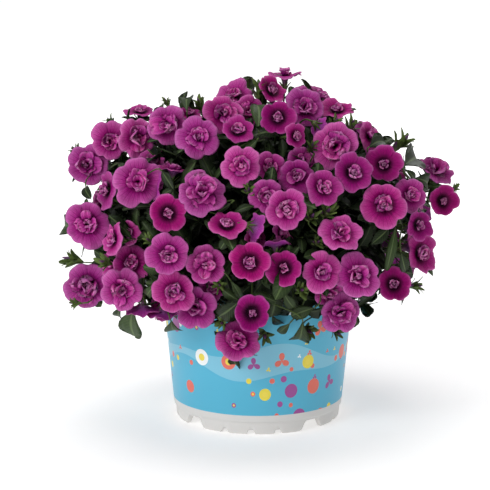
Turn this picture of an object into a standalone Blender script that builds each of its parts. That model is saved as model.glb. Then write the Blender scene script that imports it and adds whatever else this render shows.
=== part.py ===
"""A double calibrachoa in a printed plastic pot, in metres, +Z up.

The origin is on the surface that the pot stands on, under the pot's axis. The front is -Y.
The shoots of the front half are placed from a photograph. Those of the back half lie on a
golden spiral over the same mound.
"""

import math
import random

import bmesh
import bpy
import numpy as np
from mathutils import Matrix, Vector
from mathutils.bvhtree import BVHTree

# Driving sizes of the pot
POT_HEIGHT = 0.128
POT_TOP_RADIUS = 0.0852
POT_FOOT_RADIUS = 0.0742
POT_WALL = 0.0014
RIM_RADIUS = 0.0868
RIM_DEPTH = 0.006
FOOT_HEIGHT = 0.0115
POT_SIDES = 40
POT_FLOOR = 0.0105
GAP = 0.0003

# The foot ring is cut by four large notches, with three small ones between each two. A notch is
# given by its width at the mouth, its width at the top and its height.
FOOT_TURN = -5.0
LARGE_NOTCH = (0.0270, 0.0120, 0.0093)
SMALL_NOTCH = (0.0085, 0.0035, 0.0042)
SMALL_NOTCH_STEP = 18.7
NOTCH_REACH = 0.018
NOTCH_INSET = 0.003

# The soil, with a plain hole for each shoot
SOIL_TOP = 0.116
HOLE_DEPTH = 0.012
HOLE_RADIUS = 0.0023
ROOT_SPREAD = 0.070
ROOT_SPACING = 0.0095
ROOT_PASSES = 60
CROWN_HEIGHT = 0.100
LOWEST_COSINE = -0.31

# The camera that the photograph was taken with, in its pixels and in metres
CAMERA_DISTANCE = 1.70
CAMERA_ELEVATION = math.radians(11.0)
PIXEL = 0.000875
CENTRE_PIXEL = (245.0, 245.0)
POT_AXIS_PIXEL = 258.0
AIM_HEIGHT = 0.1512

# The mound of blooms is a flattened ball, and each layer lies behind the one before
MOUND_CENTRE = Vector((0.0, 0.0, 0.165))
MOUND_RADIUS = 0.161
MOUND_RISE = 0.132
MOUND_DROP = 0.098
MOUND_WAIST_PIXEL = 262
LAYER_STEP = 0.011

# The blooms that the photograph doesn't show, on a golden spiral over the mound
SPIRAL_POINTS = 98
SPIRAL_START = 0.4
SPIRAL_END = -0.72
SPIRAL_DEPTH = 0.002
SPIRAL_ROOM = 0.036
SPIRAL_SWELL = 0.025
SPIRAL_SLOPE = 0.08
SPIRAL_SHRINK = 0.97
OUTLINE_CENTRE = (257.0, 228.0)
OUTLINE_REACH = (163.0, 121.0)
PAIR_REACH = 0.065
BACK_RADIUS = (0.0150, 0.0195)
BACK_BUD = 0.014
BACK_BUD_OUT = 1.3
BACK_LEAF = 0.026
BACK_LEAF_OUT = 0.7

# A bloom: radii and heights as shares of its own radius, from young to mature
LOBES = 5
NOTCH_SHARE = 0.80
SHOULDER_ANGLE = math.radians(17.0)
RIM_WAVE = 0.07
THROAT_SHARE = (0.36, 0.24)
THROAT_DEPTH = (0.22, 0.12)
CREST_SHARE = (0.16, 0.50)
CREST_HEIGHT = (0.04, 0.22)
CREST_TURN = 0.3
CREST_WAVE = 0.05
HEART_HEIGHT = 0.02
TUBE_RADIUS = 0.0021
CALYX_SWELL = 2.0
TUBE_SHARE = 0.55
CALYX_SHARE = 0.95

STEM_RADIUS = 0.0013
PEDICEL_RADIUS = 0.0009
STEM_STEPS = 5
PEDICEL_STEPS = 2
TWIG_STEPS = 2

# A leaf: its length, its width as a share of that, and its thickness along the midrib
LEAF_LENGTH = (0.019, 0.027)
LEAF_WIDTH_SHARE = 0.38
LEAF_THICKNESS = 0.0012
LEAF_FOLD = 0.30
LEAF_ROOT_DEPTH = 0.0003
LEAVES_PER_STEM = 1
LEAF_TRIES = 25
TWIG_RADIUS = 0.0006
PEDICEL_ROOT = 0.0005
COLLAR_HEIGHT = 0.004
STEM_RISE = 0.040
STEM_BEND = 0.030
ARCH_TOP = 0.170
ARCH_SHARE = 0.9
ARCH_LEAST = 0.004
STEM_LEAD = 0.018
TWIG_BEND = 0.015
START_PULL = 0.3
END_PULL = (0.3, 0.4)
SIDE_START = 0.25
SIDE_LEAN = 0.5
CLEARANCE = 0.0004
TRIES = 60
GOLDEN_ANGLE = 2.39996

# Each shoot is a list of blooms: photograph x, y and width in pixels, the degrees that the face
# turns to the right and up, its age from 0 (young) to 1 (mature), and the layer it lies in.
SHOOTS = [
    [(88, 165, 45, -10, 0, 1.0, 0), (110, 141, 41, 5, 5, 0.9, 1)],
    [(167, 125, 43, 0, 5, 1.0, 0), (137, 138, 40, 20, 0, 1.0, 2), (140, 110, 31, 5, 65, 0.6, 2)],
    [(198, 137, 46, 0, 15, 1.0, 0), (190, 113, 25, 10, 55, 0.6, 2)],
    [(238, 129, 35, 0, 40, 0.3, 0), (224, 113, 44, 10, 15, 0.8, 1), (235, 95, 40, -5, 35, 0.9, 2)],
    [(278, 117, 37, 0, 5, 0.1, 0), (273, 89, 34, 35, 25, 0.2, 1), (285, 73, 38, 10, 80, 0.6, 1)],
    [(305, 107, 44, 10, 10, 1.0, 1), (297, 136, 28, 40, 0, 0.4, 0), (321, 95, 30, 60, 40, 0.5, 2),
     (337, 108, 36, 5, 55, 0.4, 1), (320, 127, 24, 130, -25, 0.3, 2)],
    [(354, 172, 42, 20, 15, 0.3, 0), (335, 146, 48, -5, 5, 0.9, 1)],
    [(384, 164, 38, 0, 5, 0.1, 1), (371, 136, 34, 45, 20, 0.8, 2)],
    [(444, 201, 33, 20, 0, 0.0, 0), (437, 169, 42, 30, 45, 0.9, 1)],
    [(384, 205, 49, 0, 0, 0.5, 0), (411, 195, 38, 20, 10, 0.9, 1)],
    [(420, 225, 32, 35, 0, 0.2, 0), (423, 254, 44, 45, 5, 0.4, 1)],
    [(358, 276, 48, 0, 0, 0.9, 0), (322, 272, 42, 10, 5, 0.9, 1), (394, 284, 36, 0, 0, 0.1, 1),
     (341, 313, 42, 10, -10, 1.0, 1)],
    [(341, 232, 44, 5, 35, 0.9, 0)],
    [(324, 187, 42, 25, 20, 0.6, 0), (297, 176, 38, 5, 5, 0.6, 1)],
    [(287, 209, 42, 0, 0, 0.7, 0), (267, 196, 37, 0, 0, 0.9, 1)],
    [(241, 166, 42, 5, 5, 1.0, 0), (270, 167, 32, 5, 10, 0.6, 2)],
    [(202, 192, 52, 5, 30, 1.0, 0), (168, 213, 40, 0, 0, 0.1, 0)],
    [(138, 182, 52, 5, 0, 1.0, 0), (157, 184, 34, 110, -10, 0.5, 2), (174, 168, 36, 60, 75, 0.5, 3)],
    [(87, 224, 48, 0, 0, 0.9, 0), (112, 239, 36, -55, 5, 0.8, 1)],
    [(122, 290, 44, 0, -10, 1.0, 0), (87, 286, 50, -5, -5, 1.0, 1), (131, 263, 40, 15, 5, 0.6, 3)],
    [(168, 255, 45, 0, 0, 0.8, 0), (174, 292, 44, 0, -5, 0.6, 1)],
    [(206, 265, 42, 0, 0, 0.8, 2), (195, 307, 44, -10, -5, 0.8, 2)],
    [(144, 311, 36, -10, -100, 0.5, 1), (163, 315, 34, 10, -105, 0.5, 2)],
    [(250, 262, 42, 0, 0, 0.1, 0), (284, 268, 38, -5, 0, 0.1, 1), (275, 243, 32, 20, 100, 0.6, 2)],
    [(227, 223, 38, 5, 45, 0.3, 0), (257, 228, 32, 120, -15, 0.4, 1)],
    [(252, 313, 39, 0, 0, 0.0, -0.5), (238, 340, 46, 0, 25, 0.9, 0)],
]

# Bud clusters: the number of the shoot, photograph x and y, the size across in pixels, the layer
BUDS = [
    (0, 75, 149, 14, 1), (1, 110, 121, 14, 2), (1, 166, 101, 12, 1), (2, 199, 103, 18, 2),
    (4, 259, 88, 20, 1), (5, 312, 146, 14, 2), (5, 335, 123, 18, 2), (7, 403, 141, 26, 1),
    (7, 352, 124, 18, 1), (8, 456, 188, 12, 1), (11, 417, 286, 18, 1), (11, 309, 331, 20, 2),
    (11, 338, 333, 16, 1.5), (12, 312, 216, 20, 1), (12, 328, 211, 20, 1), (14, 249, 190, 15, 1),
    (18, 70, 259, 24, 1), (19, 104, 262, 18, 1), (19, 74, 303, 14, 1), (23, 302, 290, 18, 1),
    (25, 265, 336, 18, 2), (25, 222, 323, 14, 1), (12, 318, 242, 14, 2), (21, 220, 285, 14, 2),
    (16, 149, 240, 14, 1),
]

# Large leaves: the number of the shoot, photograph x and y of the root and of the tip, the layer
LEAVES = [
    (4, 258, 130, 257, 103, 1), (3, 257, 140, 244, 152, 1), (17, 162, 171, 173, 189, 0.5),
    (17, 175, 188, 162, 195, 1), (0, 86, 187, 90, 198, 1), (16, 231, 203, 218, 211, 1),
    (16, 232, 233, 220, 249, 0.5), (14, 255, 206, 235, 212, 1.5), (14, 252, 214, 234, 221, 2),
    (9, 389, 228, 373, 243, 1), (10, 396, 226, 388, 271, 1), (10, 401, 252, 406, 272, 1),
    (8, 404, 165, 419, 157, 1), (8, 404, 169, 416, 181, 1), (8, 415, 178, 430, 187, 2),
    (7, 369, 147, 386, 141, 1), (19, 133, 310, 134, 338, 1), (19, 121, 307, 120, 319, 1),
    (20, 155, 284, 145, 297, 1), (22, 171, 321, 178, 333, 0.5), (21, 231, 281, 241, 298, 2),
    (25, 239, 302, 218, 317, 1), (23, 283, 292, 294, 308, 1), (11, 314, 308, 291, 316, 1),
    (11, 290, 323, 278, 334, 1), (25, 303, 322, 295, 341, 0.5), (2, 187, 111, 188, 96, 1),
    (18, 82, 231, 64, 226, 6),
]


def clear_scene():
    for old in list(bpy.data.objects):
        bpy.data.objects.remove(old, do_unlink=True)


def collection_named(name):
    made = bpy.data.collections.new(name)
    bpy.context.scene.collection.children.link(made)
    return made


def principled(name, colour, roughness):
    """A Principled material of one colour."""
    material = bpy.data.materials.new(name)
    material.use_nodes = True
    shader = material.node_tree.nodes["Principled BSDF"]
    shader.inputs["Base Color"].default_value = (*colour, 1.0)
    shader.inputs["Roughness"].default_value = roughness
    shader.inputs["Metallic"].default_value = 0.0
    return material


def new_object(name, mesh, collection, material=None):
    made = bpy.data.objects.new(name, mesh)
    collection.objects.link(made)
    if material:
        mesh.materials.append(material)
    return made


def turned(name, profile, collection, material):
    """A solid of revolution from (radius, height) points that start and end on the axis."""
    mesh = bpy.data.meshes.new(name)
    points = [(radius, 0.0, height) for radius, height in profile]
    mesh.from_pydata(points, [(i, i + 1) for i in range(len(points) - 1)], [])
    made = new_object(name, mesh, collection, material)
    screw = made.modifiers.new("turn", "SCREW")
    screw.steps = POT_SIDES
    screw.render_steps = POT_SIDES
    screw.use_merge_vertices = True
    screw.merge_threshold = 0.00001
    return made


def mark_as_cutter(cutter, cutters):
    for owner in list(cutter.users_collection):
        owner.objects.unlink(cutter)
    cutters.objects.link(cutter)
    cutter.hide_render = True
    cutter.display_type = "WIRE"


def subtract(body, cutters):
    """Every cutter of a collection taken away from one body."""
    cut = body.modifiers.new("cuts", "BOOLEAN")
    cut.operation = "DIFFERENCE"
    cut.operand_type = "COLLECTION"
    cut.collection = cutters
    cut.solver = "EXACT"


def wall_radius(height):
    """The outside of the pot's wall at a height."""
    share = (height - FOOT_HEIGHT) / (POT_HEIGHT - FOOT_HEIGHT)
    return POT_FOOT_RADIUS + share * (POT_TOP_RADIUS - POT_FOOT_RADIUS)


def notch_cutter(angle, mouth, top, height, cutters):
    """A wedge with sloping sides, across the foot ring at an angle from the front."""
    bpy.ops.mesh.primitive_cone_add(
        vertices=4,
        radius1=(2.0 * mouth - top) / math.sqrt(2.0),
        radius2=top / math.sqrt(2.0),
        depth=height * 2.0,
    )
    cutter = bpy.context.object
    cutter.name = "foot_notch"
    square = Matrix.Rotation(math.radians(45.0), 4, "Z")
    deepened = Matrix.Diagonal((1.0, NOTCH_REACH / mouth, 1.0, 1.0))
    outwards = Matrix.Translation((0.0, NOTCH_INSET - POT_FOOT_RADIUS, 0.0))
    cutter.data.transform(Matrix.Rotation(math.radians(angle), 4, "Z") @ outwards @ deepened @ square)
    mark_as_cutter(cutter, cutters)


def make_pot(parts, material):
    """One moulded shell: rim, tapered wall, raised floor and a notched foot ring."""
    floor_top = POT_FLOOR + POT_WALL
    under_rim = POT_HEIGHT - RIM_DEPTH
    profile = [
        (0.0, floor_top),
        (wall_radius(floor_top) - POT_WALL, floor_top),
        (POT_TOP_RADIUS - POT_WALL, POT_HEIGHT),
        (RIM_RADIUS, POT_HEIGHT),
        (RIM_RADIUS - 0.0004, under_rim),
        (wall_radius(under_rim - 0.0006), under_rim - 0.0006),
        (wall_radius(FOOT_HEIGHT + 0.0005), FOOT_HEIGHT + 0.0005),
        (POT_FOOT_RADIUS - 0.0004, FOOT_HEIGHT),
        (POT_FOOT_RADIUS - 0.0012, 0.0026),
        (POT_FOOT_RADIUS - 0.0038, 0.0),
        (POT_FOOT_RADIUS - 0.0064, 0.0),
        (POT_FOOT_RADIUS - 0.0072, POT_FLOOR),
        (0.0, POT_FLOOR),
    ]
    pot = turned("pot", profile, parts, material)
    cutters = collection_named("pot_cutters")
    for quarter in range(4):
        middle = FOOT_TURN + 90.0 * quarter
        notch_cutter(middle + 45.0, *LARGE_NOTCH, cutters)
        for step in (-1, 0, 1):
            notch_cutter(middle + step * SMALL_NOTCH_STEP, *SMALL_NOTCH, cutters)
    subtract(pot, cutters)
    return pot


def make_soil(parts, material, roots):
    """The peat that fills the pot, with a plain hole for each shoot."""
    floor = POT_FLOOR + POT_WALL + GAP
    side_bottom = wall_radius(floor) - POT_WALL - GAP
    side_top = wall_radius(SOIL_TOP) - POT_WALL - GAP
    profile = [(0.0, SOIL_TOP), (side_top, SOIL_TOP), (side_bottom, floor), (0.0, floor)]
    soil = turned("potting_soil", profile, parts, material)
    cutters = collection_named("soil_cutters")
    for root in roots:
        bpy.ops.mesh.primitive_cylinder_add(
            vertices=5, radius=HOLE_RADIUS, depth=HOLE_DEPTH * 2.0, location=(root.x, root.y, SOIL_TOP)
        )
        hole = bpy.context.object
        hole.name = "shoot_hole"
        mark_as_cutter(hole, cutters)
    subtract(soil, cutters)
    return soil


def camera_frame():
    """The camera's place and its right, up and forward directions."""
    right = Vector((1.0, 0.0, 0.0))
    up = Vector((0.0, math.sin(CAMERA_ELEVATION), math.cos(CAMERA_ELEVATION)))
    forward = Vector((0.0, math.cos(CAMERA_ELEVATION), -math.sin(CAMERA_ELEVATION)))
    aim = Vector(((CENTRE_PIXEL[0] - POT_AXIS_PIXEL) * PIXEL, 0.0, AIM_HEIGHT))
    return aim - forward * CAMERA_DISTANCE, right, up, forward


def place_on_mound(x, y, layer):
    """Where the sight line through a pixel meets the mound, then back by whole layers."""
    eye, right, up, forward = camera_frame()
    across = (x - CENTRE_PIXEL[0]) * PIXEL
    rise = (CENTRE_PIXEL[1] - y) * PIXEL
    line = (right * across + up * rise + forward * CAMERA_DISTANCE).normalized()
    height = MOUND_RISE if y < MOUND_WAIST_PIXEL else MOUND_DROP
    scale = Vector((1.0 / MOUND_RADIUS, 1.0 / MOUND_RADIUS, 1.0 / height))
    start = (eye - MOUND_CENTRE) * scale
    step = line * scale
    a, b, c = step.dot(step), start.dot(step), start.dot(start) - 1.0
    reach = (-b - math.sqrt(max(b * b - a * c, 0.0))) / a
    return eye + line * (reach + layer * LAYER_STEP)


def in_outline(place):
    """Whether a bloom at a place stays within the outline that the plant has in the photograph."""
    eye, right, up, forward = camera_frame()
    away = place - eye
    scale = CAMERA_DISTANCE / PIXEL / away.dot(forward)
    x = CENTRE_PIXEL[0] + away.dot(right) * scale
    y = CENTRE_PIXEL[1] - away.dot(up) * scale
    across = (x - OUTLINE_CENTRE[0]) / OUTLINE_REACH[0]
    upright = (y - OUTLINE_CENTRE[1]) / OUTLINE_REACH[1]
    return across**2 + upright**2 < 1.0


def facing(degrees_right, degrees_up):
    """The direction that a face looks in, from its turn against the sight line."""
    _, right, up, forward = camera_frame()
    yaw = math.radians(degrees_right)
    pitch = math.radians(degrees_up)
    level = right * math.sin(yaw) - forward * math.cos(yaw)
    return (level * math.cos(pitch) + up * math.sin(pitch)).normalized()


def real_width(pixels, place):
    """A width in pixels at a place, as a real size."""
    eye, _, _, forward = camera_frame()
    return pixels * PIXEL * (place - eye).dot(forward) / CAMERA_DISTANCE


class Bloom:
    """One head: its place, its axis, its radius and its age."""

    def __init__(self, place, axis, radius, age, number):
        self.place = place
        self.axis = axis
        self.radius = radius
        self.age = age
        self.number = number

    def back_point(self):
        """Where the green calyx ends and the pedicel starts."""
        return self.place - self.axis * self.radius * CALYX_SHARE

    def frame(self):
        """The head's own frame: +Z along its axis, each turned by the golden angle from the last."""
        turn = Matrix.Rotation(self.number * GOLDEN_ANGLE, 4, "Z")
        return Matrix.Translation(self.place) @ upright_to(self.axis) @ turn


class Shoot:
    """The blooms of one shoot, with its bud clusters (place, size) and large leaves (root, tip)."""

    def __init__(self):
        self.blooms = []
        self.buds = []
        self.leaves = []


def back_blooms(front, number):
    """Blooms on a golden spiral over the mound, where it lies behind those of the photograph."""
    made = []
    for k in range(SPIRAL_POINTS):
        cosine = 1.0 - (1.0 - SPIRAL_END) * (k + 0.5) / SPIRAL_POINTS
        sine = math.sqrt(1.0 - cosine**2)
        turn = k * GOLDEN_ANGLE + SPIRAL_START
        height = MOUND_RISE if cosine > 0.0 else MOUND_DROP
        out = Vector((sine * math.cos(turn), sine * math.sin(turn), cosine))
        uneven = 1.0 + SPIRAL_SWELL * math.sin(1.3 * k)
        place = MOUND_CENTRE + out * Vector((MOUND_RADIUS, MOUND_RADIUS, height)) * uneven
        place.z -= max(out.z, 0.0) * max(place.y, 0.0) * SPIRAL_SLOPE
        while place.y > SPIRAL_DEPTH and not in_outline(place):
            place = MOUND_CENTRE.lerp(place, SPIRAL_SHRINK)
        radius = between(BACK_RADIUS, (k * 0.618) % 1.0)
        room = all((place - bloom.place).length > SPIRAL_ROOM for bloom in front)
        if place.y > SPIRAL_DEPTH and room:
            sway = Vector((math.sin(1.7 * k), math.sin(2.9 * k), math.cos(2.3 * k) + 0.8)) * 0.3
            age = min(1.0, 0.15 + (k * 0.382) % 1.0)
            made.append(Bloom(place, (out + sway).normalized(), radius, age, number + len(made)))
    return made


def all_shoots():
    """The shoots of the photograph, then those of the back, each of a bloom and its nearest."""
    shoots = []
    number = 0
    for rows in SHOOTS:
        shoot = Shoot()
        for x, y, width, degrees_right, degrees_up, age, layer in rows:
            place = place_on_mound(x, y, layer)
            radius = real_width(width, place) / 2.0
            shoot.blooms.append(Bloom(place, facing(degrees_right, degrees_up), radius, age, number))
            number += 1
        shoots.append(shoot)
    for owner, x, y, width, layer in BUDS:
        place = place_on_mound(x, y, layer)
        shoots[owner].buds.append((place, real_width(width, place)))
    for owner, root_x, root_y, tip_x, tip_y, layer in LEAVES:
        ends = (place_on_mound(root_x, root_y, layer), place_on_mound(tip_x, tip_y, layer))
        shoots[owner].leaves.append(ends)
    left = back_blooms([bloom for shoot in shoots for bloom in shoot.blooms], number)
    while left:
        shoot = Shoot()
        shoot.blooms.append(left.pop(0))
        first = shoot.blooms[0]
        left.sort(key=lambda bloom: (bloom.place - first.place).length)
        if left and (left[0].place - first.place).length < PAIR_REACH:
            shoot.blooms.append(left.pop(0))
        left.sort(key=lambda bloom: bloom.number)
        side = first.axis.cross(Vector((0.0, 0.0, 1.0))).normalized()
        side *= 1.0 if first.number % 2 else -1.0
        root = first.back_point() + side * first.radius * BACK_LEAF_OUT
        way = (side + first.axis * 0.8 - Vector((0.0, 0.0, 0.3))).normalized()
        shoot.leaves.append((root, root + way * BACK_LEAF))
        if first.number % 2:
            shoot.buds.append((first.place - side * first.radius * BACK_BUD_OUT, BACK_BUD))
        shoots.append(shoot)
    return shoots


def between(pair, share):
    return pair[0] + (pair[1] - pair[0]) * share


def upright_to(axis):
    """The turn that brings +Z to an axis."""
    return axis.to_track_quat("Z", "Y").to_matrix().to_4x4()


def ring(radius, height, count, turn=0.0):
    angles = [turn + k * math.tau / count for k in range(count)]
    return [Vector((radius * math.cos(angle), radius * math.sin(angle), height)) for angle in angles]


def head_rings(bloom):
    """The rings of a head from its tube to its heart, in the head's own frame.

    The rim has five lobes, each of a notch and two shoulders, and waves up and down. Inside the
    throat ring stands the second corolla: its crest, then the hollow of its heart.
    """
    size = bloom.radius
    rim = []
    for lobe in range(LOBES):
        middle = lobe * math.tau / LOBES
        wave = RIM_WAVE * size * math.sin(2.0 * middle + bloom.number)
        for angle, reach, lift in (
            (middle - math.pi / LOBES, NOTCH_SHARE, 0.0),
            (middle - SHOULDER_ANGLE, 1.0, wave),
            (middle + SHOULDER_ANGLE, 1.0, -wave),
        ):
            rim.append(Vector((reach * size * math.cos(angle), reach * size * math.sin(angle), lift)))
    throat = ring(size * between(THROAT_SHARE, bloom.age), -size * between(THROAT_DEPTH, bloom.age), LOBES)
    crest_height = size * between(CREST_HEIGHT, bloom.age)
    crest = ring(size * between(CREST_SHARE, bloom.age), crest_height, LOBES, CREST_TURN)
    for k, point in enumerate(crest):
        point.z += CREST_WAVE * size * math.sin(2.3 * k + bloom.number)
    heart = [Vector((0.0, 0.0, size * HEART_HEIGHT))]
    tube = ring(TUBE_RADIUS, -size * TUBE_SHARE, 3)
    return [tube, rim, throat, crest, heart]


def bridge(first, second, faces):
    """Triangles between two rings of point numbers that run the same way round."""
    a, b = len(first), len(second)
    i = j = 0
    while i < a or j < b:
        if j >= b or (i < a and (i + 0.5) * b <= (j + 0.5) * a):
            faces.append((first[i % a], first[(i + 1) % a], second[j % b]))
            i += 1
        else:
            faces.append((first[i % a], second[(j + 1) % b], second[j % b]))
            j += 1


def loft(rings):
    """Points and triangles of a closed solid through rings; an end ring is a point or is capped."""
    points, faces, last = [], [], []
    for ring_points in rings:
        numbers = list(range(len(points), len(points) + len(ring_points)))
        points.extend(ring_points)
        if not last:
            faces.extend((numbers[0], numbers[k + 1], numbers[k]) for k in range(1, len(numbers) - 1))
        elif len(numbers) == 1:
            faces.extend((last[k], last[(k + 1) % len(last)], numbers[0]) for k in range(len(last)))
        elif len(last) == 1:
            faces.extend((last[0], numbers[(k + 1) % len(numbers)], numbers[k]) for k in range(len(numbers)))
        else:
            bridge(last, numbers, faces)
        last = numbers
    faces.extend((last[0], last[k], last[k + 1]) for k in range(1, len(last) - 1))
    return points, faces


def stem_rings(path, first_radius, last_radius):
    """Three-sided rings along a path, each square to it and none twisted against the last."""
    rings = []
    side = None
    for k, point in enumerate(path):
        along = (path[min(k + 1, len(path) - 1)] - path[max(k - 1, 0)]).normalized()
        side = side or along.orthogonal()
        side = (side - along * side.dot(along)).normalized()
        other = along.cross(side)
        radius = first_radius + (last_radius - first_radius) * k / (len(path) - 1)
        turns = [corner * math.tau / 3.0 for corner in range(3)]
        rings.append([point + (side * math.cos(turn) + other * math.sin(turn)) * radius for turn in turns])
    return rings


def bezier(start, start_pull, end_pull, end, steps):
    path = []
    for k in range(steps + 1):
        t = k / steps
        s = 1.0 - t
        path.append(start * s**3 + start_pull * 3 * s * s * t + end_pull * 3 * s * t * t + end * t**3)
    return path


def started_near(points, direction, step=1):
    """A ring of points started at the one furthest along a direction."""
    start = max(range(0, len(points), step), key=lambda k: points[k].dot(direction))
    return points[start:] + points[:start]


def bloom_solid(bloom, path, first_radius):
    """A head on its stem as one closed loft. The path runs from the foot to the calyx."""
    frame = bloom.frame()
    rings = stem_rings(path, first_radius, PEDICEL_RADIUS)
    direction = (rings[-1][0] - path[-1]).normalized()
    rings[-1] = [path[-1] + (point - path[-1]) * CALYX_SWELL for point in rings[-1]]
    tube, rim, throat, crest, heart = [[frame @ point for point in points] for points in head_rings(bloom)]
    rings.append(started_near(tube, direction))
    rings.append(started_near(rim[1:] + rim[:1], direction, 3))
    rings.append(started_near(throat, direction))
    rings.append(started_near(crest, direction))
    return loft(rings + [heart])


def leaf_rings(root, tip, face):
    """A leaf folded along its midrib and arched: two four-point sections, then the tip."""
    length = (tip - root).length
    along = (tip - root).normalized()
    across = along.cross(face).normalized()
    up = across.cross(along).normalized()
    half_width = length * LEAF_WIDTH_SHARE / 2.0
    half_thickness = LEAF_THICKNESS / 2.0
    rings = []
    for share, width_share, arch in ((0.34, 1.0, 0.07), (0.72, 0.80, 0.06)):
        middle = root + along * (length * share) + up * (length * arch)
        side = across * (half_width * width_share)
        fold = up * (half_width * width_share * LEAF_FOLD)
        rings.append([middle + up * half_thickness, middle + side + fold])
        rings[-1] += [middle - up * half_thickness, middle - side + fold]
    rings.append([tip])
    return rings


def side_of(path, rings, k, towards):
    """A point inside a stem a quarter past its ring k, and the way out through its nearest side."""
    start = path[k].lerp(path[k + 1], SIDE_START)
    along = (path[k + 1] - path[k]).normalized()
    ways = []
    for corner in range(3):
        middle = (rings[k][corner] + rings[k][corner - 2]) / 2.0 - path[k]
        ways.append((middle - along * middle.dot(along)).normalized())
    out = max(ways, key=lambda way: way.dot(towards))
    return start, (out + along * SIDE_LEAN).normalized(), along


def leaf_on_stem(path, rings, k, towards, length):
    """A leaf that leaves a stem's side."""
    start, way, along = side_of(path, rings, k, towards)
    root = start - way * LEAF_ROOT_DEPTH
    return loft([[root]] + leaf_rings(root, root + way * length, along - way * 0.5))


def leaf_on_twig(path, tip):
    """A leaf at the end of a twig."""
    face = (path[-1] - MOUND_CENTRE).normalized()
    rings = stem_rings(path, TWIG_RADIUS, TWIG_RADIUS)
    leaf = leaf_rings(path[-1], tip, face)
    direction = (rings[-1][0] - path[-1]).normalized()
    turned_leaf = [started_near(points, direction) for points in leaf[:-1]]
    return loft(rings + turned_leaf + leaf[-1:])


def bud_on_twig(path, size):
    """A bud cluster at the end of a twig: five pointed sepals round a bud."""
    axis = (path[-1] - path[-2]).normalized()
    frame = Matrix.Translation(path[-1]) @ upright_to(axis)
    rings = stem_rings(path, TWIG_RADIUS, PEDICEL_RADIUS)
    direction = (rings[-1][0] - path[-1]).normalized()
    tips = ring(0.5 * size, 0.95 * size, LOBES)
    notches = ring(0.17 * size, 0.30 * size, LOBES, math.pi / LOBES)
    star = [frame @ point for pair in zip(tips, notches) for point in pair]
    heart = frame @ Vector((0.0, 0.0, 0.80 * size))
    return loft(rings + [started_near(star, direction, 2), [heart]])


class Garden:
    """What has been placed so far, so that a new piece is bent clear of what it may not cross."""

    def __init__(self):
        self.placed = []

    @staticmethod
    def reach(points):
        """The middle of some points and the furthest of them from it."""
        at = np.array([tuple(point) for point in points])
        middle = (at.min(axis=0) + at.max(axis=0)) / 2.0
        return at, middle, np.linalg.norm(at - middle, axis=1).max()

    def add(self, solid, label):
        points, faces = solid
        at, middle, size = self.reach(points)
        self.placed.append((label, middle, size, BVHTree.FromPolygons(at.tolist(), faces)))

    def crossed(self, solid):
        """The labels of what a solid crosses once it is pushed out by the clearance."""
        points, faces = solid
        at, middle, size = self.reach(points)
        corners = np.array(faces)
        normals = np.cross(at[corners[:, 1]] - at[corners[:, 0]], at[corners[:, 2]] - at[corners[:, 0]])
        out = np.zeros_like(at)
        for corner in range(3):
            np.add.at(out, corners[:, corner], normals)
        out /= np.maximum(np.linalg.norm(out, axis=1, keepdims=True), 1e-12)
        tree = BVHTree.FromPolygons((at + out * CLEARANCE).tolist(), faces)
        for label, other_middle, other_size, other_tree in self.placed:
            near = np.linalg.norm(other_middle - middle) <= other_size + size
            if near and tree.overlap(other_tree):
                yield label

    def first_clear(self, label, ignored, shapes):
        """The first of some shapes that crosses nothing, and what it was made with."""
        for solid, extra in shapes:
            if all(label in ignored for label in self.crossed(solid)):
                self.add(solid, label)
                return solid, extra
        return None, None


def spread_roots(shoots):
    """The foot of each shoot: under its first bloom's direction, then pushed apart over the soil."""
    flat = []
    for shoot in shoots:
        away = (shoot.blooms[0].back_point() - Vector((0.0, 0.0, CROWN_HEIGHT))).normalized()
        spread = ROOT_SPREAD * math.sqrt((1.0 - away.z) / (1.0 - LOWEST_COSINE))
        flat.append(Vector((away.x, away.y)).normalized() * min(spread, ROOT_SPREAD))
    for _ in range(ROOT_PASSES):
        for i, one in enumerate(flat):
            for other in flat[:i]:
                apart = one - other
                short = ROOT_SPACING - apart.length
                if short > 0.0:
                    push = apart.normalized() * short / 2.0
                    one += push
                    other -= push
        for one in flat:
            if one.length > ROOT_SPREAD:
                one *= ROOT_SPREAD / one.length
    return [Vector((one.x, one.y, SOIL_TOP - HOLE_DEPTH + GAP)) for one in flat]


def bends(draw, most):
    """No bend, then wider and wider seeded ones."""
    yield Vector((0.0, 0.0, 0.0))
    for k in range(1, TRIES):
        loose = min(most, 0.002 * k)
        yield Vector([draw.uniform(-loose, loose) for _ in range(3)])


def main_stems(root, bloom, draw):
    """Stems from the soil straight up, over the rim, then to the back of the shoot's first head."""
    lift = max(0.0, ARCH_TOP - bloom.place.z) * ARCH_SHARE + ARCH_LEAST
    collar = root + Vector((0.0, 0.0, HOLE_DEPTH + COLLAR_HEIGHT))
    end = bloom.back_point()
    for bend in bends(draw, STEM_BEND):
        up_pull = collar + Vector((0.0, 0.0, STEM_RISE)) + bend * 0.6
        end_pull = end - bloom.axis * STEM_LEAD + Vector((0.0, 0.0, lift)) + bend
        path = [root] + bezier(collar, up_pull, end_pull, end, STEM_STEPS)
        yield bloom_solid(bloom, path, STEM_RADIUS), path


def side_stems(path, rings, bloom, draw):
    """Pedicels from a side of the shoot's stem to the back of another head."""
    end = bloom.back_point()
    for tries, bend in enumerate(bends(draw, STEM_BEND)):
        k = draw.choice(range(2, len(path) - 1)) if tries else len(path) - 3
        start, way, _ = side_of(path, rings, k, end - path[k])
        reach = (end - start).length
        start_pull = start + way * reach * START_PULL
        end_pull = end - bloom.axis * reach * END_PULL[0] + bend
        pedicel = bezier(start, start_pull, end_pull, end, PEDICEL_STEPS)
        yield bloom_solid(bloom, pedicel, PEDICEL_ROOT), pedicel


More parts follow.
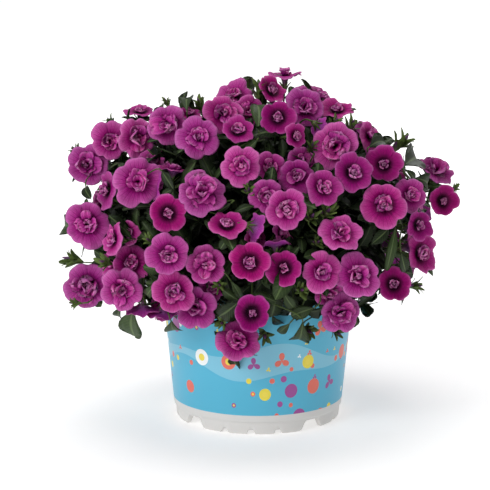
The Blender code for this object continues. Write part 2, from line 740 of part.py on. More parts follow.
def twigs(stems, end, direction, draw):
    """Twigs from the nearest sides of a shoot's stems to a place, ending in a direction."""
    starts = []
    for path, rings, label in stems:
        for k in range(1, len(path) - 1):
            start, way, _ = side_of(path, rings, k, end - path[k])
            starts.append((start, way, label))
    starts.sort(key=lambda row: (row[0] - end).length)
    for tries, bend in enumerate(bends(draw, TWIG_BEND)):
        start, way, label = starts[(tries // 3) % len(starts)]
        reach = (end - start).length
        start_pull = start + way * reach * START_PULL
        end_pull = end - direction * reach * END_PULL[1] + bend
        yield bezier(start, start_pull, end_pull, end, TWIG_STEPS), label


def mesh_of(name, solid):
    mesh = bpy.data.meshes.new(name)
    mesh.from_pydata([tuple(point) for point in solid[0]], [], solid[1])
    return mesh


def keep_largest_island(mesh):
    """Drops loose scraps and the walls of sealed hollows."""
    work = bmesh.new()
    work.from_mesh(mesh)
    left = set(work.verts)
    islands = []
    while left:
        island = set()
        front = [left.pop()]
        while front:
            vertex = front.pop()
            island.add(vertex)
            linked = {edge.other_vert(vertex) for edge in vertex.link_edges} & left
            left -= linked
            front.extend(linked)
        islands.append(island)
    islands.sort(key=len)
    for island in islands[:-1]:
        bmesh.ops.delete(work, geom=list(island), context="VERTS")
    work.to_mesh(mesh)
    work.free()


def united(name, solids, parts, material):
    """The pieces of one shoot joined by a single union."""
    body = new_object(name, mesh_of(name, solids[0]), parts, material)
    if len(solids) == 1:
        return
    pieces = collection_named(name + "_pieces")
    for k, solid in enumerate(solids[1:]):
        new_object(f"{name}_piece_{k}", mesh_of(name, solid), pieces)
    union = body.modifiers.new("union", "BOOLEAN")
    union.operation = "UNION"
    union.operand_type = "COLLECTION"
    union.collection = pieces
    union.solver = "MANIFOLD"
    graph = bpy.context.evaluated_depsgraph_get()
    whole = bpy.data.meshes.new_from_object(body.evaluated_get(graph))
    body.modifiers.clear()
    body.data = whole
    keep_largest_island(whole)
    for piece in list(pieces.objects):
        bpy.data.objects.remove(piece, do_unlink=True)
    bpy.data.collections.remove(pieces)


def grow_heads(shoots, garden):
    """Every head set in its place first, with the labels of what each may cross."""
    touching = {}
    for shoot in shoots:
        for bloom in shoot.blooms:
            back = bloom.back_point()
            head = bloom_solid(bloom, [back - bloom.axis * 0.002, back], PEDICEL_RADIUS)
            label = ("head", bloom.number)
            touching[bloom.number] = set(garden.crossed(head)) | {label}
            for crossed in touching[bloom.number] - {label}:
                touching[crossed[1]].add(label)
            garden.add(head, label)
    return touching


def grow_stems(shoots, roots, garden, touching, solids):
    """A stem to the first head of each shoot, then a pedicel to each other one."""
    stems = [[] for _ in shoots]
    for leading in (True, False):
        for owner, shoot in enumerate(shoots):
            for bloom in shoot.blooms[:1] if leading else shoot.blooms[1:]:
                draw = random.Random(bloom.number + 1)
                label = ("stem", bloom.number)
                allowed = touching[bloom.number] | {("stem", shoot.blooms[0].number)}
                if leading:
                    shapes = main_stems(roots[owner], bloom, draw)
                else:
                    shapes = side_stems(*stems[owner][0][:2], bloom, draw)
                solid, path = garden.first_clear(label, allowed, shapes)
                solids[owner].append(solid)
                radius = STEM_RADIUS if leading else PEDICEL_ROOT
                stems[owner].append((path, stem_rings(path, radius, PEDICEL_RADIUS), label))
    return stems


def grow_twigs(shoots, stems, garden, solids):
    """Bud clusters and large leaves at their places, each on a twig. What finds no way is left out."""
    for owner, shoot in enumerate(shoots):
        ends = []
        for place, size in shoot.buds:
            axis = ((place - MOUND_CENTRE).normalized() + Vector((0.0, 0.0, 0.4))).normalized()
            ends.append((place - axis * size * 0.6, axis, bud_on_twig, size))
        for root, tip in shoot.leaves:
            ends.append((root, (tip - root).normalized(), leaf_on_twig, tip))
        for k, (end, direction, shape, extra) in enumerate(ends):
            for path, stem_label in twigs(stems[owner], end, direction, random.Random(1000 * owner + k)):
                solid, _ = garden.first_clear(("twig", owner, k), {stem_label}, [(shape(path, extra), path)])
                if solid:
                    solids[owner].append(solid)
                    break


def grow_small_leaves(stems, garden, solids):
    """A few more leaves on each shoot's stem, where there is room."""
    for owner, shoot_stems in enumerate(stems):
        draw = random.Random(owner + 5000)
        path, rings, stem_label = shoot_stems[0]
        for k in range(LEAVES_PER_STEM):
            shapes = []
            for _ in range(LEAF_TRIES):
                towards = Vector([draw.uniform(-1.0, 1.0) for _ in range(3)])
                at = draw.choice(range(2, len(path) - 1))
                shapes.append((leaf_on_stem(path, rings, at, towards, draw.uniform(*LEAF_LENGTH)), at))
            solid, _ = garden.first_clear(("leaf", owner, k), {stem_label}, shapes)
            if solid:
                solids[owner].append(solid)


def build():
    clear_scene()
    parts = collection_named("double_calibrachoa_in_pot")
    plastic = principled("printed_plastic", (0.09, 0.45, 0.63), 0.35)
    peat = principled("potting_soil", (0.035, 0.022, 0.014), 0.95)
    petals_and_leaves = principled("calibrachoa", (0.46, 0.06, 0.28), 0.55)
    shoots = all_shoots()
    roots = spread_roots(shoots)
    pot = make_pot(parts, plastic)
    soil = make_soil(parts, peat, roots)

    garden = Garden()
    graph = bpy.context.evaluated_depsgraph_get()
    for solid in (pot, soil):
        mesh = solid.evaluated_get(graph).to_mesh()
        mesh.calc_loop_triangles()
        points = [vertex.co.copy() for vertex in mesh.vertices]
        garden.add((points, [tuple(triangle.vertices) for triangle in mesh.loop_triangles]), (solid.name,))
    solids = [[] for _ in shoots]
    touching = grow_heads(shoots, garden)
    stems = grow_stems(shoots, roots, garden, touching, solids)
    grow_twigs(shoots, stems, garden, solids)
    grow_small_leaves(stems, garden, solids)
    for owner, pieces in enumerate(solids):
        united(f"shoot_{owner + 1:02d}", pieces, parts, petals_and_leaves)


build()
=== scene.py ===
"""The looks of a double calibrachoa in a printed plastic pot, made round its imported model.

Metres, +Z up, the front at -Y. The pot, the soil and each shoot of the frame are replaced by finer
pieces in the same places, and leafy growth without blooms fills the mound between them.
"""

import math

import bpy
import numpy as np
from mathutils import Matrix, Vector


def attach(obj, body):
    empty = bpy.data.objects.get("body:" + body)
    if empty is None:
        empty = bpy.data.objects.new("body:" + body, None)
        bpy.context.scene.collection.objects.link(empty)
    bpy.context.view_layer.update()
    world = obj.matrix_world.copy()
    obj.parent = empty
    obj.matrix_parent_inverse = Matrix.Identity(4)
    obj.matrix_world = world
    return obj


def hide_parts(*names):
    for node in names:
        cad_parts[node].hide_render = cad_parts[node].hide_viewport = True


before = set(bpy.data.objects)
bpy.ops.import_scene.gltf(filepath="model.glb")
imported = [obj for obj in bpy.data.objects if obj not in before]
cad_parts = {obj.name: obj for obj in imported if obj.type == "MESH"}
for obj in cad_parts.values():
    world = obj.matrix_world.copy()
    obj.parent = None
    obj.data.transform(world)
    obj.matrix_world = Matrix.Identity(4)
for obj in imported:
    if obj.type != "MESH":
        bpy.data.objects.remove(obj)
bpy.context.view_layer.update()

# The camera stands 1.7 m in front of the pot and looks down by 11 degrees. One pixel of its
# square picture of 490 is 0.875 mm at the pot's axis, which lies a little right of the middle.
CAMERA_DISTANCE = 1.70
CAMERA_ELEVATION = math.radians(11.0)
PICTURE_PIXELS = 490
PIXEL = 0.000875
CENTRE_PIXEL = (245.0, 245.0)
POT_AXIS_PIXEL = 258.0
AIM_HEIGHT = 0.1512
SENSOR = 36.0

right = Vector((1.0, 0.0, 0.0))
up = Vector((0.0, math.sin(CAMERA_ELEVATION), math.cos(CAMERA_ELEVATION)))
forward = Vector((0.0, math.cos(CAMERA_ELEVATION), -math.sin(CAMERA_ELEVATION)))
eye = Vector(((CENTRE_PIXEL[0] - POT_AXIS_PIXEL) * PIXEL, 0.0, AIM_HEIGHT)) - forward * CAMERA_DISTANCE

lens = bpy.data.cameras.new("camera")
lens.sensor_width = SENSOR
lens.lens = SENSOR * CAMERA_DISTANCE / (PIXEL * PICTURE_PIXELS)
lens.clip_end = 20.0
camera = bpy.data.objects.new("camera", lens)
camera.location = eye
camera.rotation_euler = (math.pi / 2.0 - CAMERA_ELEVATION, 0.0, 0.0)
bpy.context.scene.collection.objects.link(camera)
bpy.context.scene.camera = camera


# The pot is one moulding of white polypropylene with a printed blue label moulded on. Its foot ring
# has four large notches to drain through, with three small ones between each two.
POT_HEIGHT = 0.128
POT_TOP_RADIUS = 0.0852
POT_FOOT_RADIUS = 0.0742
POT_WALL = 0.0014
RIM_RADIUS = 0.0868
RIM_DEPTH = 0.006
FOOT_HEIGHT = 0.0115
POT_FLOOR = 0.0105
FOOT_TURN = math.radians(-5.0)
LARGE_NOTCH = (0.0270, 0.0120, 0.0093)
SMALL_NOTCH = (0.0085, 0.0035, 0.0042)
SMALL_NOTCH_STEP = math.radians(18.7)
POT_COLUMNS = 480
POLE = 0.0002
LABEL_FOOT = 0.0176
LABEL_TOP = 0.1205
# Cells round the pot and per metre of its height, the share left empty, and a seed
MOTIF_LAYERS = ((48.0, 92.0, 0.76, 5.0), (21.0, 40.0, 0.34, 2.0))
MOTIF_COLOURS = [(0.0, "#e8705f"), (0.38, "#eedc48"), (0.64, "#a04a96"), (0.93, "#f6fafa")]
MOTIF_EYE = "#f2de52"


def linear(hex_colour):
    """A colour for a shader from its sRGB hex value."""
    parts = [int(hex_colour[k:k + 2], 16) / 255.0 for k in (1, 3, 5)]
    return (*(c / 12.92 if c <= 0.04045 else ((c + 0.055) / 1.055) ** 2.4 for c in parts), 1.0)


def put(tree, kind, *inputs, stops=(), **named):
    """Adds a node. Inputs come in the order that the node shows them or by their capitalised names,
    settings by their names in lower case, and a ramp's stops as (place, hex colour). An input is a
    value, a socket, or another node, which stands for its first output in use."""
    node = tree.nodes.new("ShaderNode" + kind)
    for name, value in named.items():
        if name[0].islower():
            setattr(node, name, value)
    while len(stops) > len(node.color_ramp.elements if stops else ()):
        node.color_ramp.elements.new(0.5)
    for k, (place, hex_colour) in enumerate(stops):
        node.color_ramp.elements[k].position = place
        node.color_ramp.elements[k].color = linear(hex_colour)
    joined = list(zip([socket for socket in node.inputs if socket.enabled], inputs))
    joined += [(node.inputs[name.replace("_", " ")], named[name]) for name in named if name[0].isupper()]
    for socket, value in joined:
        if isinstance(value, bpy.types.Node):
            value = next(output for output in value.outputs if output.enabled)
        if isinstance(value, bpy.types.NodeSocket):
            tree.links.new(value, socket)
        else:
            socket.default_value = value
    return node


def new_tree(name):
    """A material of this name with an empty tree."""
    material = bpy.data.materials.new(name)
    material.use_nodes = True
    material.node_tree.nodes.clear()
    return material, material.node_tree


def pot_material():
    """Satin polypropylene, white at the foot, where the label ends. The label gives a sky-blue band
    with a pale wave and bright motifs in staggered cells: discs, rings and three-part leaves of 6 to
    12 mm. The moulding gives a faint orange peel."""
    material, tree = new_tree("moulded_polypropylene_with_label")
    place = put(tree, "TexCoord").outputs["Object"]
    x, y, z = put(tree, "SeparateXYZ", place).outputs
    front = put(tree, "Math", y, -1.0, operation="MULTIPLY")
    turn = put(tree, "Math", x, front, operation="ARCTAN2")
    five = put(tree, "Math", put(tree, "Math", turn, 5.0, operation="MULTIPLY"), operation="SINE")
    middle = put(tree, "Math", five, 0.0045, 0.064, operation="MULTIPLY_ADD")
    off_wave = put(tree, "Math", z, middle, 1.0, operation="SUBTRACT")
    three = put(tree, "Math", put(tree, "Math", turn, 3.0, 1.3, operation="MULTIPLY_ADD"), operation="SINE")
    half = put(tree, "Math", three, 0.0055, 0.0085, operation="MULTIPLY_ADD")
    off_wave = put(tree, "Math", off_wave, operation="ABSOLUTE")
    in_wave = put(tree, "Math", off_wave, half, operation="LESS_THAN")
    pale = put(tree, "Math", in_wave, 0.34, operation="MULTIPLY")
    colour = put(tree, "Mix", pale, linear("#52b6d6"), linear("#b6e2ef"), data_type="RGBA")

    across = put(tree, "Math", turn, math.tau, operation="DIVIDE")
    for columns, rows, spare, seed in MOTIF_LAYERS:
        grid_z = put(tree, "Math", z, rows, operation="MULTIPLY")
        row = put(tree, "Math", grid_z, operation="FLOOR")
        shifted = put(tree, "Math", row, 0.37, operation="MULTIPLY")
        grid_x = put(tree, "Math", across, columns, shifted, operation="MULTIPLY_ADD")
        cell = put(tree, "Math", grid_x, operation="FLOOR")
        wrapped = put(tree, "Math", cell, columns, 0.0, operation="WRAP")
        corner = put(tree, "CombineXYZ", wrapped, row, seed)
        chance = put(tree, "TexWhiteNoise", corner, noise_dimensions="3D")
        one, two, other = put(tree, "SeparateColor", chance.outputs["Color"]).outputs
        at_x = put(tree, "Math", one, 0.36, 0.32, operation="MULTIPLY_ADD")
        at_z = put(tree, "Math", two, 0.30, 0.35, operation="MULTIPLY_ADD")
        from_x = put(tree, "Math", put(tree, "Math", grid_x, operation="FRACT"), at_x, operation="SUBTRACT")
        from_z = put(tree, "Math", put(tree, "Math", grid_z, operation="FRACT"), at_z, operation="SUBTRACT")
        away = put(tree, "CombineXYZ", from_x, from_z, 0.0)
        reach = put(tree, "VectorMath", away, operation="LENGTH").outputs["Value"]
        angle = put(tree, "Math", from_z, from_x, operation="ARCTAN2")
        half_turns = put(tree, "Math", angle, 1.5, one, operation="MULTIPLY_ADD")
        lobe = put(tree, "Math", put(tree, "Math", half_turns, operation="COSINE"), operation="ABSOLUTE")
        leafy = put(tree, "Math", other, 0.62, operation="GREATER_THAN")
        drawn_in = put(tree, "Math", lobe, 1.0, operation="SUBTRACT")
        outline = put(tree, "Math", drawn_in, leafy, 1.0, operation="MULTIPLY_ADD")
        radius = put(tree, "Math", two, 0.12, 0.17, operation="MULTIPLY_ADD")
        limit = put(tree, "Math", outline, radius, operation="MULTIPLY")
        inside = put(tree, "Math", reach, limit, operation="LESS_THAN")
        ringed = put(tree, "Math", other, 0.30, operation="LESS_THAN")
        bore = put(tree, "Math", radius, 0.45, operation="MULTIPLY")
        eyed = put(tree, "Math", reach, bore, operation="LESS_THAN")
        eyed = put(tree, "Math", eyed, ringed, operation="MULTIPLY")
        used = put(tree, "Math", chance.outputs["Value"], spare, operation="GREATER_THAN")
        drawn = put(tree, "Math", inside, used, operation="MULTIPLY")
        turns = put(tree, "Math", row, 0.236, seed * 0.13, operation="MULTIPLY_ADD")
        turns = put(tree, "Math", wrapped, 0.382, turns, operation="MULTIPLY_ADD")
        turns = put(tree, "Math", turns, operation="FRACT")
        motif = put(tree, "ValToRGB", turns, stops=MOTIF_COLOURS)
        motif.color_ramp.interpolation = "CONSTANT"
        motif = put(tree, "Mix", eyed, motif, linear(MOTIF_EYE), data_type="RGBA")
        colour = put(tree, "Mix", drawn, colour, motif, data_type="RGBA")

    low = put(tree, "Math", z, LABEL_FOOT, operation="GREATER_THAN")
    high = put(tree, "Math", z, LABEL_TOP, operation="LESS_THAN")
    out = put(tree, "VectorMath", put(tree, "CombineXYZ", x, y, 0.0), operation="LENGTH").outputs["Value"]
    wall = put(tree, "Math", z, 0.0944, 0.0723, operation="MULTIPLY_ADD")
    outer = put(tree, "Math", out, wall, operation="GREATER_THAN")
    label = put(tree, "Math", put(tree, "Math", low, high, operation="MULTIPLY"), outer, operation="MULTIPLY")
    colour = put(tree, "Mix", label, linear("#dddbd8"), colour, data_type="RGBA")
    peel = put(tree, "TexNoise", place, Scale=700.0, Detail=2.0)
    smears = put(tree, "TexNoise", place, Scale=28.0, Detail=5.0, Roughness=0.65)
    dull = put(tree, "MapRange", smears, To_Min=0.30, To_Max=0.46)
    grain = put(tree, "Bump", Height=peel, Strength=0.10, Distance=0.0002)
    shader = put(tree, "BsdfPrincipled", Base_Color=colour, Roughness=dull, IOR=1.49, Normal=grain)
    put(tree, "OutputMaterial", shader)
    return material


def mesh_object(name, skins):
    """One object from closed skins, each an array of points (pieces, rows, columns, 3) with its values.

    The columns of a row run round a piece and join up, anticlockwise as seen against the rows' course.
    The rows follow along the piece, and its first and last rows are capped, so every piece is closed.
    A skin is (points, form, kind, material): form holds a vertex's place on its piece, kind what the
    whole piece is like, and both are kept as attributes for the material to read.
    """
    points, forms, kinds, corners, sizes, around, slots, materials = [], [], [], [], [], [], [], []
    first = 0
    for shape, form, kind, material in skins:
        pieces, rows, columns, _ = shape.shape
        number = first + np.arange(pieces * rows * columns).reshape(pieces, rows, columns)
        first += number.size
        after = np.roll(number, -1, axis=2)
        quads = np.stack([number[:, :-1], after[:, :-1], after[:, 1:], number[:, 1:]], axis=-1)
        caps = np.concatenate([number[:, 0, ::-1], number[:, -1]])
        corners += [quads.ravel(), caps.ravel()]
        sizes += [np.full(quads.size // 4, 4), np.full(len(caps), columns)]
        u = np.arange(columns) / columns
        v = np.linspace(0.0, 1.0, rows)
        corner_u = np.stack([u, u + 1.0 / columns, u + 1.0 / columns, u], axis=-1)[None, :]
        corner_v = np.stack([v[:-1], v[:-1], v[1:], v[1:]], axis=-1)[:, None]
        quad_uv = np.stack(np.broadcast_arrays(corner_u, corner_v), axis=-1)
        quad_uv = np.broadcast_to(quad_uv, (pieces, *quad_uv.shape))
        cap_uv = np.zeros((2 * pieces, columns, 2))
        cap_uv[:pieces, :, 0] = u[::-1]
        cap_uv[pieces:] = np.stack([u, np.ones(columns)], axis=-1)
        around += [quad_uv.reshape(-1, 2), cap_uv.reshape(-1, 2)]
        points.append(shape.reshape(-1, 3))
        forms.append(np.broadcast_to(form, shape.shape).reshape(-1, 3))
        kinds.append(np.broadcast_to(kind, shape.shape).reshape(-1, 3))
        if material not in materials:
            materials.append(material)
        slots.append(np.full(quads.size // 4 + len(caps), materials.index(material)))
    corners = np.concatenate(corners)
    sizes = np.concatenate(sizes)
    mesh = bpy.data.meshes.new(name)
    mesh.vertices.add(first)
    mesh.loops.add(len(corners))
    mesh.polygons.add(len(sizes))
    mesh.vertices.foreach_set("co", np.concatenate(points).astype(np.float32).ravel())
    mesh.loops.foreach_set("vertex_index", corners.astype(np.int32))
    mesh.polygons.foreach_set("loop_start", np.concatenate([[0], np.cumsum(sizes)[:-1]]).astype(np.int32))
    mesh.polygons.foreach_set("material_index", np.concatenate(slots).astype(np.int32))
    mesh.update(calc_edges=True)
    round_uv = np.concatenate(around).astype(np.float32)
    mesh.uv_layers.new(name="around").data.foreach_set("uv", round_uv.ravel())
    for title, values in (("form", forms), ("kind", kinds)):
        attribute = mesh.attributes.new(title, "FLOAT_VECTOR", "POINT")
        attribute.data.foreach_set("vector", np.concatenate(values).astype(np.float32).ravel())
    mesh.shade_smooth()
    for material in materials:
        mesh.materials.append(material)
    made = bpy.data.objects.new(name, mesh)
    bpy.context.scene.collection.objects.link(made)
    return made


def wall_radius(height):
    """The outside of the pot's wall, a straight taper from the foot to the top."""
    share = (height - FOOT_HEIGHT) / (POT_HEIGHT - FOOT_HEIGHT)
    return POT_FOOT_RADIUS + share * (POT_TOP_RADIUS - POT_FOOT_RADIUS)


def notch_height(turn):
    """How far the foot ring is cut away at each angle: over each notch a flat top with sloping sides."""
    height = np.zeros_like(turn)
    for quarter in range(4):
        middle = FOOT_TURN + quarter * math.pi / 2.0
        cuts = [(middle + math.pi / 4.0, LARGE_NOTCH)]
        cuts += [(middle + step * SMALL_NOTCH_STEP, SMALL_NOTCH) for step in (-1, 0, 1)]
        for centre, (mouth, top, deep) in cuts:
            apart = np.abs((turn - centre + math.pi) % math.tau - math.pi) * POT_FOOT_RADIUS
            slope = np.clip((mouth - 2.0 * apart) / (mouth - top), 0.0, 1.0)
            height = np.maximum(height, deep * slope * slope * (3.0 - 2.0 * slope))
    return height


def pot_skin(material):
    """The pot's profile, from the middle underneath over foot, wall and rim to the middle of the floor,
    carried round the axis. At the foot no point lies lower than the notches' height at its angle."""
    floor_top = POT_FLOOR + POT_WALL
    under_rim = POT_HEIGHT - RIM_DEPTH
    inside = POT_TOP_RADIUS - POT_WALL
    profile = np.array([
        (POLE, POT_FLOOR), (POT_FOOT_RADIUS - 0.0080, POT_FLOOR),
        (POT_FOOT_RADIUS - 0.0073, POT_FLOOR - 0.0005), (POT_FOOT_RADIUS - 0.0068, 0.0040),
        (POT_FOOT_RADIUS - 0.0065, 0.0006), (POT_FOOT_RADIUS - 0.0061, 0.0),
        (POT_FOOT_RADIUS - 0.0038, 0.0), (POT_FOOT_RADIUS - 0.0029, 0.0004),
        (POT_FOOT_RADIUS - 0.0023, 0.0013),
        (POT_FOOT_RADIUS - 0.0021, 0.0028), (POT_FOOT_RADIUS - 0.0017, 0.0085),
        (POT_FOOT_RADIUS - 0.0016, FOOT_HEIGHT - 0.0008), (POT_FOOT_RADIUS - 0.0014, FOOT_HEIGHT - 0.0003),
        (POT_FOOT_RADIUS - 0.0005, FOOT_HEIGHT - 0.0002), (POT_FOOT_RADIUS - 0.0001, FOOT_HEIGHT + 0.0002),
        (wall_radius(FOOT_HEIGHT + 0.0006), FOOT_HEIGHT + 0.0006), (wall_radius(0.0176), 0.0176),
        (wall_radius(0.05), 0.05), (wall_radius(0.09), 0.09),
        (wall_radius(under_rim - 0.0008), under_rim - 0.0008),
        (wall_radius(under_rim), under_rim - 0.0001), (RIM_RADIUS - 0.0007, under_rim + 0.0001),
        (RIM_RADIUS - 0.0001, under_rim + 0.0007), (RIM_RADIUS, POT_HEIGHT - 0.0012),
        (RIM_RADIUS - 0.0004, POT_HEIGHT - 0.0003), (RIM_RADIUS - 0.0010, POT_HEIGHT),
        (inside + 0.0006, POT_HEIGHT), (inside, POT_HEIGHT - 0.0005), (inside - 0.0004, POT_HEIGHT - 0.006),
        (wall_radius(floor_top) - POT_WALL, floor_top + 0.0010),
        (wall_radius(floor_top) - POT_WALL - 0.0008, floor_top),
        (POLE, floor_top),
    ])
    turn = np.arange(POT_COLUMNS) * math.tau / POT_COLUMNS
    radius, height = profile[:, 0, None], profile[:, 1, None]
    lifted = np.maximum(height, notch_height(turn + math.pi / 2.0)[None, :])
    points = np.stack([radius * np.cos(turn), radius * np.sin(turn), lifted + 0.0 * turn], axis=-1)
    return points[None], (0.0, 0.0, 0.0), (0.0, 0.0, 0.0), material


pot = mesh_object("pot_moulding", [pot_skin(pot_material())])
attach(pot, "root")
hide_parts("pot")


# The potting soil is peat with bark and white perlite, heaped a little unevenly below the rim.
SOIL_TOP = 0.116
SOIL_GAP = 0.0003
SOIL_COLUMNS = 96


def peat_material():
    """Moist peat: near black-brown crumbs of 1 to 3 mm, with a few pale perlite grains."""
    material, tree = new_tree("moist_peat_with_perlite")
    place = put(tree, "TexCoord").outputs["Object"]
    crumbs = put(tree, "TexVoronoi", place, Scale=420.0)
    lumps = put(tree, "TexNoise", place, Scale=160.0, Detail=8.0, Roughness=0.7)
    colour = put(tree, "ValToRGB", lumps, stops=[(0.3, "#120c08"), (0.55, "#2c1e14"), (0.75, "#4a3524")])
    pick = put(tree, "SeparateColor", crumbs.outputs["Color"])
    perlite = put(tree, "Math", pick, 0.965, operation="GREATER_THAN")
    colour = put(tree, "Mix", perlite, colour, linear("#cfc8b8"), data_type="RGBA")
    relief = put(tree, "Math", lumps, crumbs, operation="SUBTRACT")
    bump = put(tree, "Bump", Height=relief, Strength=0.9, Distance=0.0012)
    shader = put(tree, "BsdfPrincipled", Base_Color=colour, Roughness=0.95, Normal=bump)
    put(tree, "OutputMaterial", shader)
    return material


def soil_skin(material):
    """A plug that fills the pot, its top raised by crossed sine waves that die away at the edge."""
    floor = POT_FLOOR + POT_WALL + SOIL_GAP
    bottom = wall_radius(floor) - POT_WALL - 2.0 * SOIL_GAP
    top = wall_radius(SOIL_TOP) - POT_WALL - 2.0 * SOIL_GAP
    radius = np.concatenate([[POLE, bottom], np.linspace(top, POLE, 26)])
    height = np.concatenate([[floor, floor], np.full(26, SOIL_TOP)])
    turn = np.arange(SOIL_COLUMNS) * math.tau / SOIL_COLUMNS
    x, y = radius[:, None] * np.cos(turn), radius[:, None] * np.sin(turn)
    waves = np.sin(310.0 * x + 2.0 * np.sin(190.0 * y)) * np.cos(270.0 * y)
    waves = waves + 0.5 * np.sin(900.0 * x + 700.0 * y)
    heap = np.where(height > floor, 1.0 - (radius / top) ** 4, 0.0)[:, None]
    points = np.stack([x, y, height[:, None] + heap * (0.0016 + 0.0011 * waves)], axis=-1)
    return points[None], (0.0, 0.0, 0.0), (0.0, 0.0, 0.0), material


soil = mesh_object("peat", [soil_skin(peat_material())])
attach(soil, "root")
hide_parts("potting_soil")


# The mound: each shoot's blooms, bud clusters and large leaves by their pixels in the photograph, on
# a flattened ball of growth, and the blooms behind on a golden spiral, where the frame has them.
MOUND_CENTRE = Vector((0.0, 0.0, 0.165))
MOUND_RADIUS = 0.161
MOUND_RISE = 0.132
MOUND_DROP = 0.098
MOUND_WAIST_PIXEL = 262
LAYER_STEP = 0.011
SPIRAL_POINTS = 98
SPIRAL_START = 0.4
SPIRAL_END = -0.72
SPIRAL_DEPTH = 0.002
SPIRAL_ROOM = 0.036
SPIRAL_SWELL = 0.025
SPIRAL_SLOPE = 0.08
SPIRAL_SHRINK = 0.97
OUTLINE_CENTRE = (257.0, 228.0)
OUTLINE_REACH = (163.0, 121.0)
PAIR_REACH = 0.065
BACK_RADIUS = (0.0150, 0.0195)
BACK_BUD = 0.014
BACK_BUD_OUT = 1.3
BACK_LEAF = 0.026
BACK_LEAF_OUT = 0.7
CALYX_SHARE = 0.95
GOLDEN_ANGLE = 2.39996

# Photograph x, y and width of each bloom in pixels, the degrees that its face turns to the right
# and up, its age from 0 (young) to 1 (mature), and the layer it lies in, one list to a shoot
SHOOTS = [
    [(88, 165, 45, -10, 0, 1.0, 0), (110, 141, 41, 5, 5, 0.9, 1)],
    [(167, 125, 43, 0, 5, 1.0, 0), (137, 138, 40, 20, 0, 1.0, 2), (140, 110, 31, 5, 65, 0.6, 2)],
    [(198, 137, 46, 0, 15, 1.0, 0), (190, 113, 25, 10, 55, 0.6, 2)],
    [(238, 129, 35, 0, 40, 0.3, 0), (224, 113, 44, 10, 15, 0.8, 1), (235, 95, 40, -5, 35, 0.9, 2)],
    [(278, 117, 37, 0, 5, 0.1, 0), (273, 89, 34, 35, 25, 0.2, 1), (285, 73, 38, 10, 80, 0.6, 1)],
    [(305, 107, 44, 10, 10, 1.0, 1), (297, 136, 28, 40, 0, 0.4, 0), (321, 95, 30, 60, 40, 0.5, 2),
     (337, 108, 36, 5, 55, 0.4, 1), (320, 127, 24, 130, -25, 0.3, 2)],
    [(354, 172, 42, 20, 15, 0.3, 0), (335, 146, 48, -5, 5, 0.9, 1)],
    [(384, 164, 38, 0, 5, 0.1, 1), (371, 136, 34, 45, 20, 0.8, 2)],
    [(444, 201, 33, 20, 0, 0.0, 0), (437, 169, 42, 30, 45, 0.9, 1)],
    [(384, 205, 49, 0, 0, 0.5, 0), (411, 195, 38, 20, 10, 0.9, 1)],
    [(420, 225, 32, 35, 0, 0.2, 0), (423, 254, 44, 45, 5, 0.4, 1)],
    [(358, 276, 48, 0, 0, 0.9, 0), (322, 272, 42, 10, 5, 0.9, 1), (394, 284, 36, 0, 0, 0.1, 1),
     (341, 313, 42, 10, -10, 1.0, 1)],
    [(341, 232, 44, 5, 35, 0.9, 0)],
    [(324, 187, 42, 25, 20, 0.6, 0), (297, 176, 38, 5, 5, 0.6, 1)],
    [(287, 209, 42, 0, 0, 0.7, 0), (267, 196, 37, 0, 0, 0.9, 1)],
    [(241, 166, 42, 5, 5, 1.0, 0), (270, 167, 32, 5, 10, 0.6, 2)],
    [(202, 192, 52, 5, 30, 1.0, 0), (168, 213, 40, 0, 0, 0.1, 0)],
    [(138, 182, 52, 5, 0, 1.0, 0), (157, 184, 34, 110, -10, 0.5, 2), (174, 168, 36, 60, 75, 0.5, 3)],
    [(87, 224, 48, 0, 0, 0.9, 0), (112, 239, 36, -55, 5, 0.8, 1)],
    [(122, 290, 44, 0, -10, 1.0, 0), (87, 286, 50, -5, -5, 1.0, 1), (131, 263, 40, 15, 5, 0.6, 3)],
    [(168, 255, 45, 0, 0, 0.8, 0), (174, 292, 44, 0, -5, 0.6, 1)],
    [(206, 265, 42, 0, 0, 0.8, 2), (195, 307, 44, -10, -5, 0.8, 2)],
    [(144, 311, 36, -10, -100, 0.5, 1), (163, 315, 34, 10, -105, 0.5, 2)],
    [(250, 262, 42, 0, 0, 0.1, 0), (284, 268, 38, -5, 0, 0.1, 1), (275, 243, 32, 20, 100, 0.6, 2)],
    [(227, 223, 38, 5, 45, 0.3, 0), (257, 228, 32, 120, -15, 0.4, 1)],
    [(252, 313, 39, 0, 0, 0.0, -0.5), (238, 340, 46, 0, 25, 0.9, 0)],
]

# Bud clusters: the number of the shoot, photograph x and y, the size across in pixels, the layer
BUDS = [
    (0, 75, 149, 14, 1), (1, 110, 121, 14, 2), (1, 166, 101, 12, 1), (2, 199, 103, 18, 2),
    (4, 259, 88, 20, 1), (5, 312, 146, 14, 2), (5, 335, 123, 18, 2), (7, 403, 141, 26, 1),
    (7, 352, 124, 18, 1), (8, 456, 188, 12, 1), (11, 417, 286, 18, 1), (11, 309, 331, 20, 2),
    (11, 338, 333, 16, 1.5), (12, 312, 216, 20, 1), (12, 328, 211, 20, 1), (14, 249, 190, 15, 1),
    (18, 70, 259, 24, 1), (19, 104, 262, 18, 1), (19, 74, 303, 14, 1), (23, 302, 290, 18, 1),
    (25, 265, 336, 18, 2), (25, 222, 323, 14, 1), (12, 318, 242, 14, 2), (21, 220, 285, 14, 2),
    (16, 149, 240, 14, 1),
]

